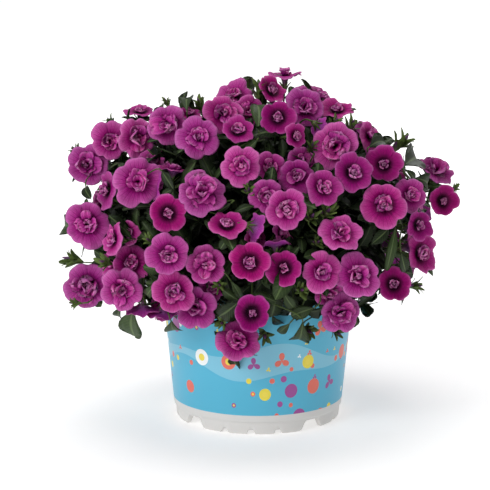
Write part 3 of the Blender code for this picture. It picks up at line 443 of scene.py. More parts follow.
# Large leaves: the number of the shoot, photograph x and y of the root and of the tip, the layer
LEAVES = [
    (4, 258, 130, 257, 103, 1), (3, 257, 140, 244, 152, 1), (17, 162, 171, 173, 189, 0.5),
    (17, 175, 188, 162, 195, 1), (0, 86, 187, 90, 198, 1), (16, 231, 203, 218, 211, 1),
    (16, 232, 233, 220, 249, 0.5), (14, 255, 206, 235, 212, 1.5), (14, 252, 214, 234, 221, 2),
    (9, 389, 228, 373, 243, 1), (10, 396, 226, 388, 271, 1), (10, 401, 252, 406, 272, 1),
    (8, 404, 165, 419, 157, 1), (8, 404, 169, 416, 181, 1), (8, 415, 178, 430, 187, 2),
    (7, 369, 147, 386, 141, 1), (19, 133, 310, 134, 338, 1), (19, 121, 307, 120, 319, 1),
    (20, 155, 284, 145, 297, 1), (22, 171, 321, 178, 333, 0.5), (21, 231, 281, 241, 298, 2),
    (25, 239, 302, 218, 317, 1), (23, 283, 292, 294, 308, 1), (11, 314, 308, 291, 316, 1),
    (11, 290, 323, 278, 334, 1), (25, 303, 322, 295, 341, 0.5), (2, 187, 111, 188, 96, 1),
    (18, 82, 231, 64, 226, 6),
]


def between(pair, share):
    return pair[0] + (pair[1] - pair[0]) * share


def place_on_mound(x, y, layer):
    """Where the sight line through a pixel meets the mound, then back by whole layers."""
    across = (x - CENTRE_PIXEL[0]) * PIXEL
    rise = (CENTRE_PIXEL[1] - y) * PIXEL
    line = (right * across + up * rise + forward * CAMERA_DISTANCE).normalized()
    height = MOUND_RISE if y < MOUND_WAIST_PIXEL else MOUND_DROP
    scale = Vector((1.0 / MOUND_RADIUS, 1.0 / MOUND_RADIUS, 1.0 / height))
    start = (eye - MOUND_CENTRE) * scale
    step = line * scale
    a, b, c = step.dot(step), start.dot(step), start.dot(start) - 1.0
    reach = (-b - math.sqrt(max(b * b - a * c, 0.0))) / a
    return eye + line * (reach + layer * LAYER_STEP)


def in_outline(place):
    """Whether a bloom at a place stays within the outline that the plant has in the photograph."""
    away = place - eye
    scale = CAMERA_DISTANCE / PIXEL / away.dot(forward)
    across = (CENTRE_PIXEL[0] + away.dot(right) * scale - OUTLINE_CENTRE[0]) / OUTLINE_REACH[0]
    upright = (CENTRE_PIXEL[1] - away.dot(up) * scale - OUTLINE_CENTRE[1]) / OUTLINE_REACH[1]
    return across**2 + upright**2 < 1.0


def facing(degrees_right, degrees_up):
    """The direction that a face looks in, from its turn against the sight line."""
    yaw, pitch = math.radians(degrees_right), math.radians(degrees_up)
    level = right * math.sin(yaw) - forward * math.cos(yaw)
    return (level * math.cos(pitch) + up * math.sin(pitch)).normalized()


def real_width(pixels, place):
    """A width in pixels at a place, as a real size."""
    return pixels * PIXEL * (place - eye).dot(forward) / CAMERA_DISTANCE


class Bloom:
    """One head: its place, its axis, its radius, its age and its number, which turns it."""

    def __init__(self, place, axis, radius, age, number):
        self.place, self.axis, self.radius, self.age, self.number = place, axis, radius, age, number
        self.back = place - axis * radius * CALYX_SHARE
        upright = axis.to_track_quat("Z", "Y").to_matrix()
        self.turn = np.array(upright @ Matrix.Rotation(number * GOLDEN_ANGLE, 3, "Z"))


def back_blooms(front, number):
    """Blooms on a golden spiral over the mound, where it lies behind those of the photograph."""
    made = []
    for k in range(SPIRAL_POINTS):
        cosine = 1.0 - (1.0 - SPIRAL_END) * (k + 0.5) / SPIRAL_POINTS
        sine = math.sqrt(1.0 - cosine**2)
        turn = k * GOLDEN_ANGLE + SPIRAL_START
        height = MOUND_RISE if cosine > 0.0 else MOUND_DROP
        out = Vector((sine * math.cos(turn), sine * math.sin(turn), cosine))
        uneven = 1.0 + SPIRAL_SWELL * math.sin(1.3 * k)
        place = MOUND_CENTRE + out * Vector((MOUND_RADIUS, MOUND_RADIUS, height)) * uneven
        place.z -= max(out.z, 0.0) * max(place.y, 0.0) * SPIRAL_SLOPE
        while place.y > SPIRAL_DEPTH and not in_outline(place):
            place = MOUND_CENTRE.lerp(place, SPIRAL_SHRINK)
        radius = between(BACK_RADIUS, (k * 0.618) % 1.0)
        room = all((place - bloom.place).length > SPIRAL_ROOM for bloom in front)
        if place.y > SPIRAL_DEPTH and room:
            sway = Vector((math.sin(1.7 * k), math.sin(2.9 * k), math.cos(2.3 * k) + 0.8)) * 0.3
            age = min(1.0, 0.15 + (k * 0.382) % 1.0)
            made.append(Bloom(place, (out + sway).normalized(), radius, age, number + len(made)))
    return made


def all_shoots():
    """Each shoot as its blooms, its bud clusters (place, size) and its large leaves (root, tip)."""
    shoots = []
    number = 0
    for rows in SHOOTS:
        blooms = []
        for x, y, width, degrees_right, degrees_up, age, layer in rows:
            place = place_on_mound(x, y, layer)
            axis = facing(degrees_right, degrees_up)
            blooms.append(Bloom(place, axis, real_width(width, place) / 2.0, age, number))
            number += 1
        shoots.append((blooms, [], []))
    for owner, x, y, width, layer in BUDS:
        place = place_on_mound(x, y, layer)
        shoots[owner][1].append((place, real_width(width, place)))
    for owner, root_x, root_y, tip_x, tip_y, layer in LEAVES:
        ends = (place_on_mound(root_x, root_y, layer), place_on_mound(tip_x, tip_y, layer))
        shoots[owner][2].append(ends)
    left = back_blooms([bloom for blooms, _, _ in shoots for bloom in blooms], number)
    while left:
        first = left.pop(0)
        blooms = [first]
        left.sort(key=lambda bloom: (bloom.place - first.place).length)
        if left and (left[0].place - first.place).length < PAIR_REACH:
            blooms.append(left.pop(0))
        left.sort(key=lambda bloom: bloom.number)
        side = first.axis.cross(Vector((0.0, 0.0, 1.0))).normalized()
        side *= 1.0 if first.number % 2 else -1.0
        root = first.back + side * first.radius * BACK_LEAF_OUT
        way = (side + first.axis * 0.8 - Vector((0.0, 0.0, 0.3))).normalized()
        buds = []
        if first.number % 2:
            buds.append((first.place - side * first.radius * BACK_BUD_OUT, BACK_BUD))
        shoots.append((blooms, buds, [(root, root + way * BACK_LEAF)]))
    return shoots


# The opening in the growth: photograph x and y of its middle, and its half width and height
OPENING = (397.0, 246.0, 12.0, 20.0)

shoots = all_shoots()
heads = [bloom for blooms, _, _ in shoots for bloom in blooms]
head_places = np.array([tuple(bloom.place) for bloom in heads])
head_axes = np.array([tuple(bloom.axis) for bloom in heads])
head_radii = np.array([bloom.radius for bloom in heads])


def in_the_way(roots, tips):
    """Whether leaves from roots to tips pass through a bloom's cone, stand right in front of it, or
    close the opening at the right, through which the photograph shows the light behind."""
    share = np.array([0.25, 0.5, 0.75, 1.0])[:, None, None, None]
    points = roots[:, None, :] * (1.0 - share) + tips[:, None, :] * share
    line = points - np.array(eye)
    scale = CAMERA_DISTANCE / PIXEL / (line @ np.array(forward))
    x = (CENTRE_PIXEL[0] + line @ np.array(right) * scale - OPENING[0]) / OPENING[2]
    y = (CENTRE_PIXEL[1] - line @ np.array(up) * scale - OPENING[1]) / OPENING[3]
    in_opening = np.any(x**2 + y**2 < 1.0, axis=(0, 2))
    away = points - head_places
    height = np.sum(away * head_axes, axis=-1)
    across = np.linalg.norm(away - height[..., None] * head_axes, axis=-1) / head_radii
    height = height / head_radii
    in_bloom = (across < 1.0) & (height > 0.40 * across - 0.50) & (height < 1.1)
    return np.any(in_bloom, axis=(0, 2)) | in_opening


# The outer corolla of a bloom is a trumpet of five broad lobes round a dark throat, as thin as
# paper. It opens deep magenta and pales to orchid pink, with fine dark veins out of the throat.
LOBES = 5
LOBE_COLUMNS = 11
NOTCH_SHARE = 0.75
LOBE_SPREAD = 0.09
RIM_WAVE = 0.08
THROAT_SHARE = (0.36, 0.24)
THROAT_DEPTH = (0.22, 0.12)
TUBE_RADIUS = 0.0021
TUBE_SHARE = 0.55
PETAL_THICKNESS = (0.0006, 0.0003)


def petal_material(name, mature, young, back, edge_colour):
    """Living petal: satin, a little translucent, darkest in the throat. Dark veins fan out along the
    lobes, fork halfway and are joined by a faint mesh, drawn with cells of 3 mm so that it shows. The
    first value of form is the share of the radius, the second the side to side place on the lobe,
    and the third is 1 on the back."""
    material, tree = new_tree(name)
    form = put(tree, "Attribute", attribute_name="form").outputs["Vector"]
    kind = put(tree, "Attribute", attribute_name="kind").outputs["Vector"]
    place = put(tree, "TexCoord").outputs["Object"]
    reach, across, side = put(tree, "SeparateXYZ", form).outputs
    age, tint, _ = put(tree, "SeparateXYZ", kind).outputs
    speckle = put(tree, "TexNoise", place, Scale=380.0, Detail=4.0, Roughness=0.6)
    patches = put(tree, "TexNoise", place, Scale=75.0, Detail=2.0)
    wander = put(tree, "Math", patches, 0.30, put(tree, "Math", speckle, 0.12, operation="MULTIPLY"),
                 operation="MULTIPLY_ADD")
    lane = put(tree, "Math", across, wander, operation="ADD")
    mesh_lines = put(tree, "TexVoronoi", place, Scale=360.0, feature="DISTANCE_TO_EDGE")
    veins = put(tree, "MapRange", mesh_lines, From_Max=0.12, To_Min=0.42, To_Max=0.0)
    for lanes, start, strength in ((5.5, 0.0, 1.0), (11.0, 0.35, 0.65)):
        phase = put(tree, "Math", lane, lanes * math.pi / 2.0, operation="MULTIPLY")
        wave = put(tree, "Math", put(tree, "Math", phase, operation="SINE"), operation="ABSOLUTE")
        line = put(tree, "MapRange", wave, From_Max=0.46, To_Min=1.0, To_Max=0.0)
        grown = put(tree, "MapRange", reach, From_Min=start, From_Max=start + 0.15, To_Max=strength)
        drawn = put(tree, "Math", line, grown, operation="MULTIPLY")
        veins = put(tree, "Math", veins, drawn, operation="MAXIMUM")
    fade = put(tree, "MapRange", reach, From_Min=0.45, From_Max=0.98, To_Min=1.0, To_Max=0.30)
    veins = put(tree, "Math", veins, fade, operation="MULTIPLY")
    breaks = put(tree, "MapRange", speckle, From_Min=0.36, From_Max=0.60, To_Min=0.35, To_Max=1.0)
    veins = put(tree, "Math", veins, breaks, operation="MULTIPLY")
    uneven = put(tree, "Math", patches, 0.16, -0.08, operation="MULTIPLY_ADD")
    spread = put(tree, "Math", reach, uneven, operation="ADD")
    old = put(tree, "ValToRGB", spread, stops=mature)
    fresh = put(tree, "ValToRGB", spread, stops=young)
    front = put(tree, "Mix", age, fresh, old, data_type="RGBA")
    colour = put(tree, "Mix", side, front, put(tree, "ValToRGB", reach, stops=back), data_type="RGBA")
    colour = put(tree, "Mix", veins, colour, linear("#62004a"), data_type="RGBA")
    edge = put(tree, "Math", put(tree, "Math", across, operation="ABSOLUTE"), 6.0, operation="POWER")
    edge = put(tree, "Math", edge, put(tree, "Math", reach, 4.0, operation="POWER"), operation="MULTIPLY")
    edge = put(tree, "Math", edge, put(tree, "Math", reach, 14.0, operation="POWER"), operation="MAXIMUM")
    edge = put(tree, "Math", edge, 0.42, operation="MULTIPLY")
    colour = put(tree, "Mix", edge, colour, linear(edge_colour), data_type="RGBA")
    shift = put(tree, "Math", tint, 0.020, 0.490, operation="MULTIPLY_ADD")
    bright = put(tree, "Math", tint, 0.30, 0.80, operation="MULTIPLY_ADD")
    colour = put(tree, "HueSaturation", Color=colour, Hue=shift, Saturation=1.06, Value=bright)
    grey = put(tree, "CombineXYZ", speckle, speckle, speckle)
    colour = put(tree, "Mix", 0.40, colour, grey, data_type="RGBA", blend_type="OVERLAY")
    relief = put(tree, "Math", speckle, 0.5, put(tree, "Math", veins, -1.0, operation="MULTIPLY"),
                 operation="MULTIPLY_ADD")
    bump = put(tree, "Bump", Height=relief, Strength=0.8, Distance=0.0006)
    shader = put(tree, "BsdfPrincipled", Base_Color=colour, Roughness=0.55, Specular_IOR_Level=0.15,
                 Normal=bump, Subsurface_Weight=0.10, Subsurface_Scale=0.0012,
                 Subsurface_Radius=(1.0, 0.35, 0.6))
    put(tree, "OutputMaterial", shader)
    return material


outer_petal = petal_material(
    "living_petal_orchid",
    mature=[(0.0, "#12010c"), (0.22, "#3c002c"), (0.40, "#8a1066"), (0.58, "#b43e90"), (0.85, "#bf5aa0"),
            (1.0, "#c870ae")],
    young=[(0.0, "#0a0006"), (0.30, "#1a0012"), (0.42, "#5c043e"), (0.58, "#9a126a"), (0.88, "#a82a7a"),
           (1.0, "#b4448c")],
    back=[(0.0, "#7c7a5c"), (0.25, "#8c5690"), (0.6, "#a8449e"), (1.0, "#b858aa")],
    edge_colour="#d07cb8",
)


def to_frame(local, blooms):
    """Points in the blooms' own frames, with +Z along each axis, brought to their places."""
    turns = np.array([bloom.turn for bloom in blooms])
    places = np.array([tuple(bloom.place) for bloom in blooms])
    return np.einsum("nij,nrcj->nrci", turns, local) + places[:, None, None]


def column(values):
    """One value to a bloom, shaped to go with arrays of (blooms, rows, columns)."""
    return np.array(values, dtype=float)[:, None, None]


def corolla_skin(blooms):
    """One closed skin to a bloom: out along the back of the tube and the lobes, over the rim, and down
    into the throat. In plan each lobe is a superellipse of the angle between two notches. A lobe has
    one shoulder up and the other down, bends back or cups, is creased along its middle and frilled at
    its rim, each growing with a power of the way from the throat to the rim. The whole is a little
    oval and saddled, and every lobe and notch has its own size."""
    out = np.array([0.0, 0.15, 0.32, 0.5, 0.68, 0.84, 0.95])
    limb = np.concatenate([out, [1.0], out[::-1]])[None, :, None]
    rows = len(out) * 2 + 1
    side = np.concatenate([np.full(len(out), 1.0), [0.5], np.full(len(out), 0.0)])[None, :, None]
    angle = (np.arange(LOBES * LOBE_COLUMNS) * math.tau / (LOBES * LOBE_COLUMNS))[None, None, :]
    lobe = np.floor(angle / (math.tau / LOBES) + 0.5)
    across = (angle - lobe * math.tau / LOBES) / (math.pi / LOBES)
    lobe = lobe.astype(int)[0, 0] % LOBES
    notch = np.floor(angle[0, 0] / (math.tau / LOBES)).astype(int)
    age = column([bloom.age for bloom in blooms])
    size = column([bloom.radius for bloom in blooms])
    numbers = [bloom.number for bloom in blooms]
    number = column(numbers)
    luck = np.random.default_rng(11).uniform(-1.0, 1.0, (7, 400, LOBES))[:, numbers]
    reach_luck, reflex, wave, frill, crimp, crease = [part[:, None, lobe] for part in luck[:6]]
    throat = between(THROAT_SHARE, age)
    depth = between(THROAT_DEPTH, age)
    reach = throat + (1.0 - throat) * limb
    low = NOTCH_SHARE - 0.03 * age + 0.08 * luck[6][:, None, notch]
    high = 1.0 + LOBE_SPREAD * reach_luck
    outline = low + (high - low) * (1.0 - np.abs(across) ** 2.7) ** 0.5
    outline = outline - 0.032 * np.exp(-((across / 0.22) ** 2)) * (0.7 + crease)
    radius = reach * (1.0 - (1.0 - outline) * limb**1.5)
    wide = (1.0 - across**2) * limb**2
    lift = -(RIM_WAVE + 0.05 * wave) * np.sin(math.pi * across) * limb**2
    lift = lift + (0.03 - 0.06 * age + 0.10 * reflex) * wide
    lift = lift + 0.034 * np.sin(math.pi * 2.5 * across + 3.0 * frill) * wide * limb
    lift = lift + 0.014 * np.sin(math.pi * 5.0 * across + 3.0 * crimp) * wide * limb**3
    lift = lift - 0.030 * np.exp(-((across / 0.16) ** 2)) * limb * (1.2 - limb)
    lift = lift - 0.07 * np.abs(across) ** 5 * limb - (0.02 + 0.06 * age) * limb**8
    saddle = 0.065 * np.cos(2.0 * angle + number) + 0.05 * np.cos(angle + 2.0 * number)
    lift = lift + saddle * limb
    height = -depth * (1.0 - limb) ** 1.7 + lift
    height = height * size - side * between(PETAL_THICKNESS, limb)
    radius = radius * size * (1.0 + 0.03 * np.cos(2.0 * angle + 1.7 * number) * limb)
    spread = [radius, height, reach + 0.0 * angle, side + 0.0 * reach + 0.0 * angle]
    spread = [np.broadcast_to(values, (len(blooms), rows, angle.size)) for values in spread]

    tube = [(0.0015, -CALYX_SHARE + 0.02, 0.0), (0.0019, -0.74, 0.06), (TUBE_RADIUS, -TUBE_SHARE, 0.12)]
    back = [(np.full_like(size, r), h * size, s, 1.0) for r, h, s in tube]
    back.append((throat * size * 0.66, -(depth + 0.17) * size, 0.2, 1.0))
    well = [(0.86, 0.05, 0.9), (0.62, 0.13, 0.66), (0.34, 0.22, 0.36), (0.02, 0.26, 0.05)]
    well = [(throat * size * r, -(depth + h) * size, throat * s, 0.0) for r, h, s in well]
    ends = []
    for group in (back, well):
        rings = [[np.broadcast_to(v, (len(blooms), 1, angle.size)) for v in row] for row in group]
        ends.append([np.concatenate(values, axis=1) for values in zip(*rings)])
    radius, height, reach, side = [np.concatenate(parts, axis=1) for parts in zip(ends[0], spread, ends[1])]
    local = np.stack([radius * np.cos(angle), radius * np.sin(angle), height], axis=-1)
    across = np.broadcast_to(across, radius.shape)
    form = np.stack([reach, across, side], axis=-1)
    tint = (number * 0.618) % 1.0
    kind = np.stack(np.broadcast_arrays(age, tint, 0.0 * age), axis=-1)
    return to_frame(local, blooms), form, kind, outer_petal


# The second corolla stands inside the first: a whorl of crumpled petals round a heart of smaller
# ones, tight and pale in a young bloom, spread and pink with whitish edges in a mature one.
PETAL_ROWS = np.array([0.0, 0.20, 0.40, 0.60, 0.77, 0.89, 0.96, 1.0])
PETAL_ACROSS = np.array([-1.0, -0.78, -0.52, -0.26, 0.0, 0.26, 0.52, 0.78, 1.0])
WHORLS = (
    # petals, turn, foot radius, length young and mature, width, lean young and mature in degrees
    (4, 0.30, 0.11, (0.29, 0.52), (0.30, 0.72), (24.0, 68.0)),
    (3, 1.00, 0.06, (0.28, 0.44), (0.26, 0.56), (12.0, 50.0)),
    (2, 0.20, 0.02, (0.25, 0.34), (0.24, 0.42), (8.0, 24.0)),
)

# The inner ramps start near black at the petals' foot: partly the throat's own dark colour, partly painted
# shade in the hollows between the crumpled petals.
inner_petal = petal_material(
    "living_petal_inner",
    mature=[(0.0, "#180012"), (0.20, "#64084c"), (0.40, "#bc3c96"), (0.8, "#da62b2"), (1.0, "#e682c2")],
    young=[(0.0, "#180012"), (0.22, "#7c1060"), (0.42, "#cc50a6"), (0.85, "#ea84c6"), (1.0, "#f4aedc")],
    back=[(0.0, "#24041e"), (0.30, "#861e76"), (0.6, "#bc4aa4"), (1.0, "#d672bc")],
    edge_colour="#f2a8d8",
)


def ribbon(middle, across, upper, half_width, lift, thickness, share):
    """A closed blade round a midline: its upper face runs from one edge to the other by the shares,
    lifted off the midline, and its under face comes back beneath it, with sharp edges."""
    back = share[-2:0:-1]
    there = middle[..., None, :] + across[..., None, :] * (half_width[..., None, None] * share[:, None])
    there = there + upper[..., None, :] * lift[..., None]
    body = (1.0 - np.abs(back) ** 2)[:, None] * thickness[..., None, None]
    under = there[..., -2:0:-1, :] - upper[..., None, :] * body
    return np.concatenate([there, under], axis=-2), np.concatenate([share, back])


def whorl_skin(blooms, petals, turn, foot, lengths, widths, leans):
    """The petals of one whorl. The midline leaves the throat upright and bends outwards to its lean,
    more on one side of the bloom than on the other. A petal widens to its blunt round tip, is hollowed
    towards the axis, folded along its middle, and frilled by sine waves that grow towards the tip.
    Every petal has its own length, lean, curl, fold and frill."""
    count = len(blooms) * petals
    size = np.repeat([bloom.radius for bloom in blooms], petals)
    age = np.repeat([bloom.age for bloom in blooms], petals)
    number = np.repeat([bloom.number for bloom in blooms], petals)
    k = np.tile(np.arange(petals), len(blooms))
    size = size * (1.0 + 0.16 * np.sin(4.7 * number))
    draw = np.random.default_rng(petals).uniform(-1.0, 1.0, (7, 400 * petals))[:, number * petals + k]
    length = size * between(lengths, age) * (1.0 + 0.28 * draw[0])
    width = size * between(widths, age) * (1.0 + 0.30 * draw[1])
    turn = turn + k * math.tau / petals + 0.30 * draw[3] + 0.7 * number
    favoured = np.cos(turn - 2.1 * number)
    lean = np.radians(between(leans, age) + (5.0 + 14.0 * age) * draw[2] + 22.0 * age * favoured)
    share = PETAL_ROWS[None, :]
    bend = lean[:, None] * (0.45 + 0.75 * share) + 0.8 * draw[4][:, None] * age[:, None] * share**3
    step = length[:, None] * np.diff(PETAL_ROWS, prepend=0.0)
    outwards = np.cumsum(np.sin(bend) * step, axis=1) + (foot * size)[:, None]
    depth = size * between(THROAT_DEPTH, age)
    upwards = np.cumsum(np.cos(bend) * step, axis=1) - depth[:, None]
    radial = np.stack([np.cos(turn), np.sin(turn), 0.0 * turn], axis=-1)[:, None, :]
    axial = np.array([0.0, 0.0, 1.0])
    round_way = np.cross(radial, axial)
    middle = radial * outwards[..., None] + axial * upwards[..., None]
    upper = axial * np.sin(bend)[..., None] - radial * np.cos(bend)[..., None]
    blunt = np.clip((share - 0.60) / 0.40, 0.0, 1.0)
    widening = 0.26 + 0.74 * np.sin(0.5 * math.pi * np.minimum(share / 0.62, 1.0))
    half_width = 0.5 * width[:, None] * np.maximum(widening * (1.0 - blunt**2.4) ** 0.5, 0.10)
    t = PETAL_ACROSS
    hollow = (0.20 + 0.35 * draw[5])[:, None, None] * t**2
    fold = (0.45 * draw[6])[:, None, None] * np.abs(t)
    hollow = (hollow + fold) * half_width[..., None]
    frill = np.sin(2.2 * math.pi * t + 3.0 * draw[1][:, None, None]) * share[..., None] ** 2
    frill = frill + 0.7 * np.sin(4.5 * math.pi * t + 4.0 * draw[3][:, None, None]) * share[..., None] ** 4
    crease = -0.6 * np.exp(-((t / 0.2) ** 2)) * share[..., None]
    lift = hollow + (0.035 + 0.045 * age)[:, None, None] * size[:, None, None] * (frill + crease)
    thickness = np.full_like(half_width, 0.00035)
    across = np.broadcast_to(round_way, middle.shape)
    points, edge = ribbon(middle, across, upper, half_width, lift, thickness, t)
    flat = points.reshape(len(blooms), petals * PETAL_ROWS.size, edge.size, 3)
    points = to_frame(flat, blooms).reshape(points.shape)
    under = np.concatenate([np.zeros(t.size), np.ones(edge.size - t.size)])
    form = np.stack(np.broadcast_arrays(share[..., None], edge, under), axis=-1)
    kind = np.stack([age, (number * 0.618 + 0.13 * k) % 1.0, 0.0 * age], axis=-1)[:, None, None, :]
    return points, np.broadcast_to(form, points.shape), kind, inner_petal


# Stems, pedicels and calyxes are soft green and sticky with hairs. A stem rises from the soil,
# arches over the rim and ends at a bloom, whose five narrow sepals clasp the tube.
STEM_RADIUS = 0.0013
PEDICEL_RADIUS = 0.0008
HOLE_DEPTH = 0.012
ROOT_SPREAD = 0.070
ROOT_SPACING = 0.0095
ROOT_PASSES = 60
CROWN_HEIGHT = 0.100
LOWEST_COSINE = -0.31
COLLAR_HEIGHT = 0.004
STEM_RISE = 0.040
ARCH_TOP = 0.170
STEM_LEAD = 0.018
SIDE_AT = 0.65
STEM_POINTS = 18
STEM_SIDES = 6


def green_material(name, dark, light, rib, gloss):
    """Leafy green: form runs along the piece and across it, and the third value of kind is how far out
    in the mound it lies, low in its heart, where the colour is darkened as painted shade. The tint goes
    from dark to light. A pale midrib, faint side veins, and a fine nap of sticky hairs drawn 0.7 mm
    wide so that it shows."""
    material, tree = new_tree(name)
    form = put(tree, "Attribute", attribute_name="form").outputs["Vector"]
    kind = put(tree, "Attribute", attribute_name="kind").outputs["Vector"]
    place = put(tree, "TexCoord").outputs["Object"]
    along, across, side = put(tree, "SeparateXYZ", form).outputs
    _, tint, shade_free = put(tree, "SeparateXYZ", kind).outputs
    patches = put(tree, "TexNoise", place, Scale=110.0, Detail=4.0)
    hairs = put(tree, "TexNoise", place, Scale=1400.0, Detail=2.0)
    mottled = put(tree, "Math", patches, 0.5, -0.2, operation="MULTIPLY_ADD")
    blend = put(tree, "Math", tint, 0.9, mottled, operation="MULTIPLY_ADD", use_clamp=True)
    colour = put(tree, "Mix", blend, linear(dark), linear(light), data_type="RGBA")
    off_rib = put(tree, "Math", across, operation="ABSOLUTE")
    rib_line = put(tree, "MapRange", off_rib, From_Min=0.03, From_Max=0.16, To_Min=rib, To_Max=0.0)
    steps = put(tree, "Math", along, 9.0, put(tree, "Math", off_rib, -2.2, operation="MULTIPLY"),
                operation="MULTIPLY_ADD")
    off_step = put(tree, "Math", put(tree, "Math", steps, operation="FRACT"), 0.5, operation="SUBTRACT")
    off_step = put(tree, "Math", off_step, operation="ABSOLUTE")
    side_line = put(tree, "MapRange", off_step, From_Max=0.10, To_Min=rib * 0.4, To_Max=0.0)
    ribs = put(tree, "Math", rib_line, side_line, operation="MAXIMUM")
    colour = put(tree, "Mix", ribs, colour, linear("#8fa66c"), data_type="RGBA")
    pale = put(tree, "Math", side, 0.30, operation="MULTIPLY")
    colour = put(tree, "Mix", pale, colour, linear("#3f5732"), data_type="RGBA")
    # Painted shade: the colour darkens to near black towards the mound's heart, where shade falls deep in the
    # growth.
    shade = put(tree, "Math", shade_free, 1.8, operation="POWER")
    colour = put(tree, "Mix", shade, linear("#070b06"), colour, data_type="RGBA")
    relief = put(tree, "Math", hairs, 0.3, put(tree, "Math", ribs, -1.0, operation="MULTIPLY"),
                 operation="MULTIPLY_ADD")
    bump = put(tree, "Bump", Height=relief, Strength=0.5, Distance=0.0004)
    shader = put(tree, "BsdfPrincipled", Base_Color=colour, Roughness=gloss, Specular_IOR_Level=0.18,
                 Normal=bump)
    put(tree, "OutputMaterial", shader)
    return material


leaf_green = green_material("living_leaf", "#141f0f", "#3e512c", 0.30, 0.46)
stem_green = green_material("soft_green_stem", "#2e4022", "#64783c", 0.0, 0.55)


def unshaded_share(points):
    """How far out in the mound points lie, from 0 in its heart to 1 at its surface; it sets how far painted
    shade darkens them towards the heart.
    """
    away = (points - np.array(MOUND_CENTRE)) / np.array([MOUND_RADIUS, MOUND_RADIUS, MOUND_RISE])
    return np.clip((np.linalg.norm(away, axis=-1) - 0.50) / 0.46, 0.0, 1.0)


def unit(vectors):
    return vectors / np.maximum(np.linalg.norm(vectors, axis=-1, keepdims=True), 1e-9)


def bezier(ends, points):
    """Cubic curves through arrays of (start, start pull, end pull, end), each (curves, 3)."""
    t = np.linspace(0.0, 1.0, points)[None, :, None]
    weights = ((1 - t) ** 3, 3 * t * (1 - t) ** 2, 3 * t * t * (1 - t), t**3)
    return sum(weight * end[:, None, :] for weight, end in zip(weights, ends))


def tube_skin(paths, first_radius, last_radius, material, tint=0.5):
    """Round tubes along paths (tubes, points, 3), tapered from the first radius to the last. Each ring
    stands square to its path, turned to a fixed side so that no tube twists."""
    along = unit(np.gradient(paths, axis=1))
    side = np.cross(paths[:, -1] - paths[:, 0], (0.13, 0.21, 1.0))[:, None, :]
    side = unit(side - along * np.sum(side * along, axis=-1, keepdims=True))
    other = np.cross(along, side)
    turn = np.arange(STEM_SIDES) * math.tau / STEM_SIDES
    share = np.linspace(0.0, 1.0, paths.shape[1])
    radius = (first_radius + (last_radius - first_radius) * share)[None, :, None, None]
    ring = side[:, :, None] * np.cos(turn)[:, None] + other[:, :, None] * np.sin(turn)[:, None]
    points = paths[:, :, None] + ring * radius
    form = np.zeros(points.shape)
    form[..., 0] = share[:, None]
    form[..., 1] = 1.0
    kind = np.zeros(points.shape)
    kind[..., 1] = tint
    kind[..., 2] = unshaded_share(points)
    return points, form, kind, material


def spread_roots(shoots):
    """The foot of each shoot: under its first bloom's direction, then pushed apart over the soil."""
    flat = []
    for blooms, _, _ in shoots:
        away = (blooms[0].back - Vector((0.0, 0.0, CROWN_HEIGHT))).normalized()
        spread = ROOT_SPREAD * math.sqrt((1.0 - away.z) / (1.0 - LOWEST_COSINE))
        flat.append(Vector((away.x, away.y)).normalized() * min(spread, ROOT_SPREAD))
    for _ in range(ROOT_PASSES):
        for i, one in enumerate(flat):
            for other in flat[:i]:
                apart = one - other
                short = ROOT_SPACING - apart.length
                if short > 0.0:
                    push = apart.normalized() * short / 2.0
                    one += push
                    other -= push
        for one in flat:
            if one.length > ROOT_SPREAD:
                one *= ROOT_SPREAD / one.length
    return [Vector((one.x, one.y, SOIL_TOP - HOLE_DEPTH)) for one in flat]


def stem_paths(blooms, root):
    """The first bloom's stem rises from the soil and arches to its back; the others branch off it."""
    first = blooms[0]
    lift = max(0.0, ARCH_TOP - first.place.z) * 0.9 + 0.004
    collar = root + Vector((0.0, 0.0, HOLE_DEPTH + COLLAR_HEIGHT))
    pull = first.back - first.axis * STEM_LEAD + Vector((0.0, 0.0, lift))
    ends = [np.array([tuple(p)]) for p in (root, collar + Vector((0.0, 0.0, STEM_RISE)), pull, first.back)]
    main = bezier(ends, STEM_POINTS)
    start = main[:, int(SIDE_AT * (STEM_POINTS - 1))]
    paths = [main]
    for bloom in blooms[1:]:
        end = np.array([tuple(bloom.back)])
        reach = np.linalg.norm(end - start)
        pull = end - np.array(bloom.axis) * reach * 0.3
        lead = start + (end - start) * 0.3 + (0.0, 0.0, 0.1 * reach)
        paths.append(bezier((start, lead, pull, end), STEM_POINTS))
    return np.concatenate(paths)


def sepal_skin(blooms):
    """Five narrow pointed sepals to a bloom: each leaves the calyx end, runs along the tube and bends
    away from it at the tip."""
    share = np.linspace(0.0, 1.0, 5)[None, :]
    k = np.tile(np.arange(LOBES), len(blooms))
    size = np.repeat([bloom.radius for bloom in blooms], LOBES)
    turn = (k + 0.5) * math.tau / LOBES
    radial = np.stack([np.cos(turn), np.sin(turn), 0.0 * turn], axis=-1)[:, None, :]
    axial = np.array([0.0, 0.0, 1.0])
    outwards = 0.0011 + 0.0016 * np.sin(math.pi * 0.5 * share) + 0.0030 * share**3
    upwards = -size[:, None] * (CALYX_SHARE + 0.02) + 0.0085 * share
    middle = radial * outwards[..., None] + axial * upwards[..., None]
    upper = np.broadcast_to(-radial + axial * 0.3, middle.shape)
    across = np.broadcast_to(np.cross(radial, axial), middle.shape)
    half_width = np.broadcast_to(0.0012 * (1.0 - share**2.5) + 0.00012, middle.shape[:2])
    edges = np.array([-1.0, 0.0, 1.0])
    lift = half_width[..., None] * 0.5 * edges**2
    points, edge = ribbon(middle, across, unit(upper), half_width, lift, 0.0 * half_width + 0.0005, edges)
    points = to_frame(points.reshape(len(blooms), -1, edge.size, 3), blooms).reshape(points.shape)
    form = np.stack(np.broadcast_arrays(share[..., None], edge, 0.0), axis=-1)
    kind = np.array([0.0, 0.7, 1.0])
    return points, np.broadcast_to(form, points.shape), kind, stem_green


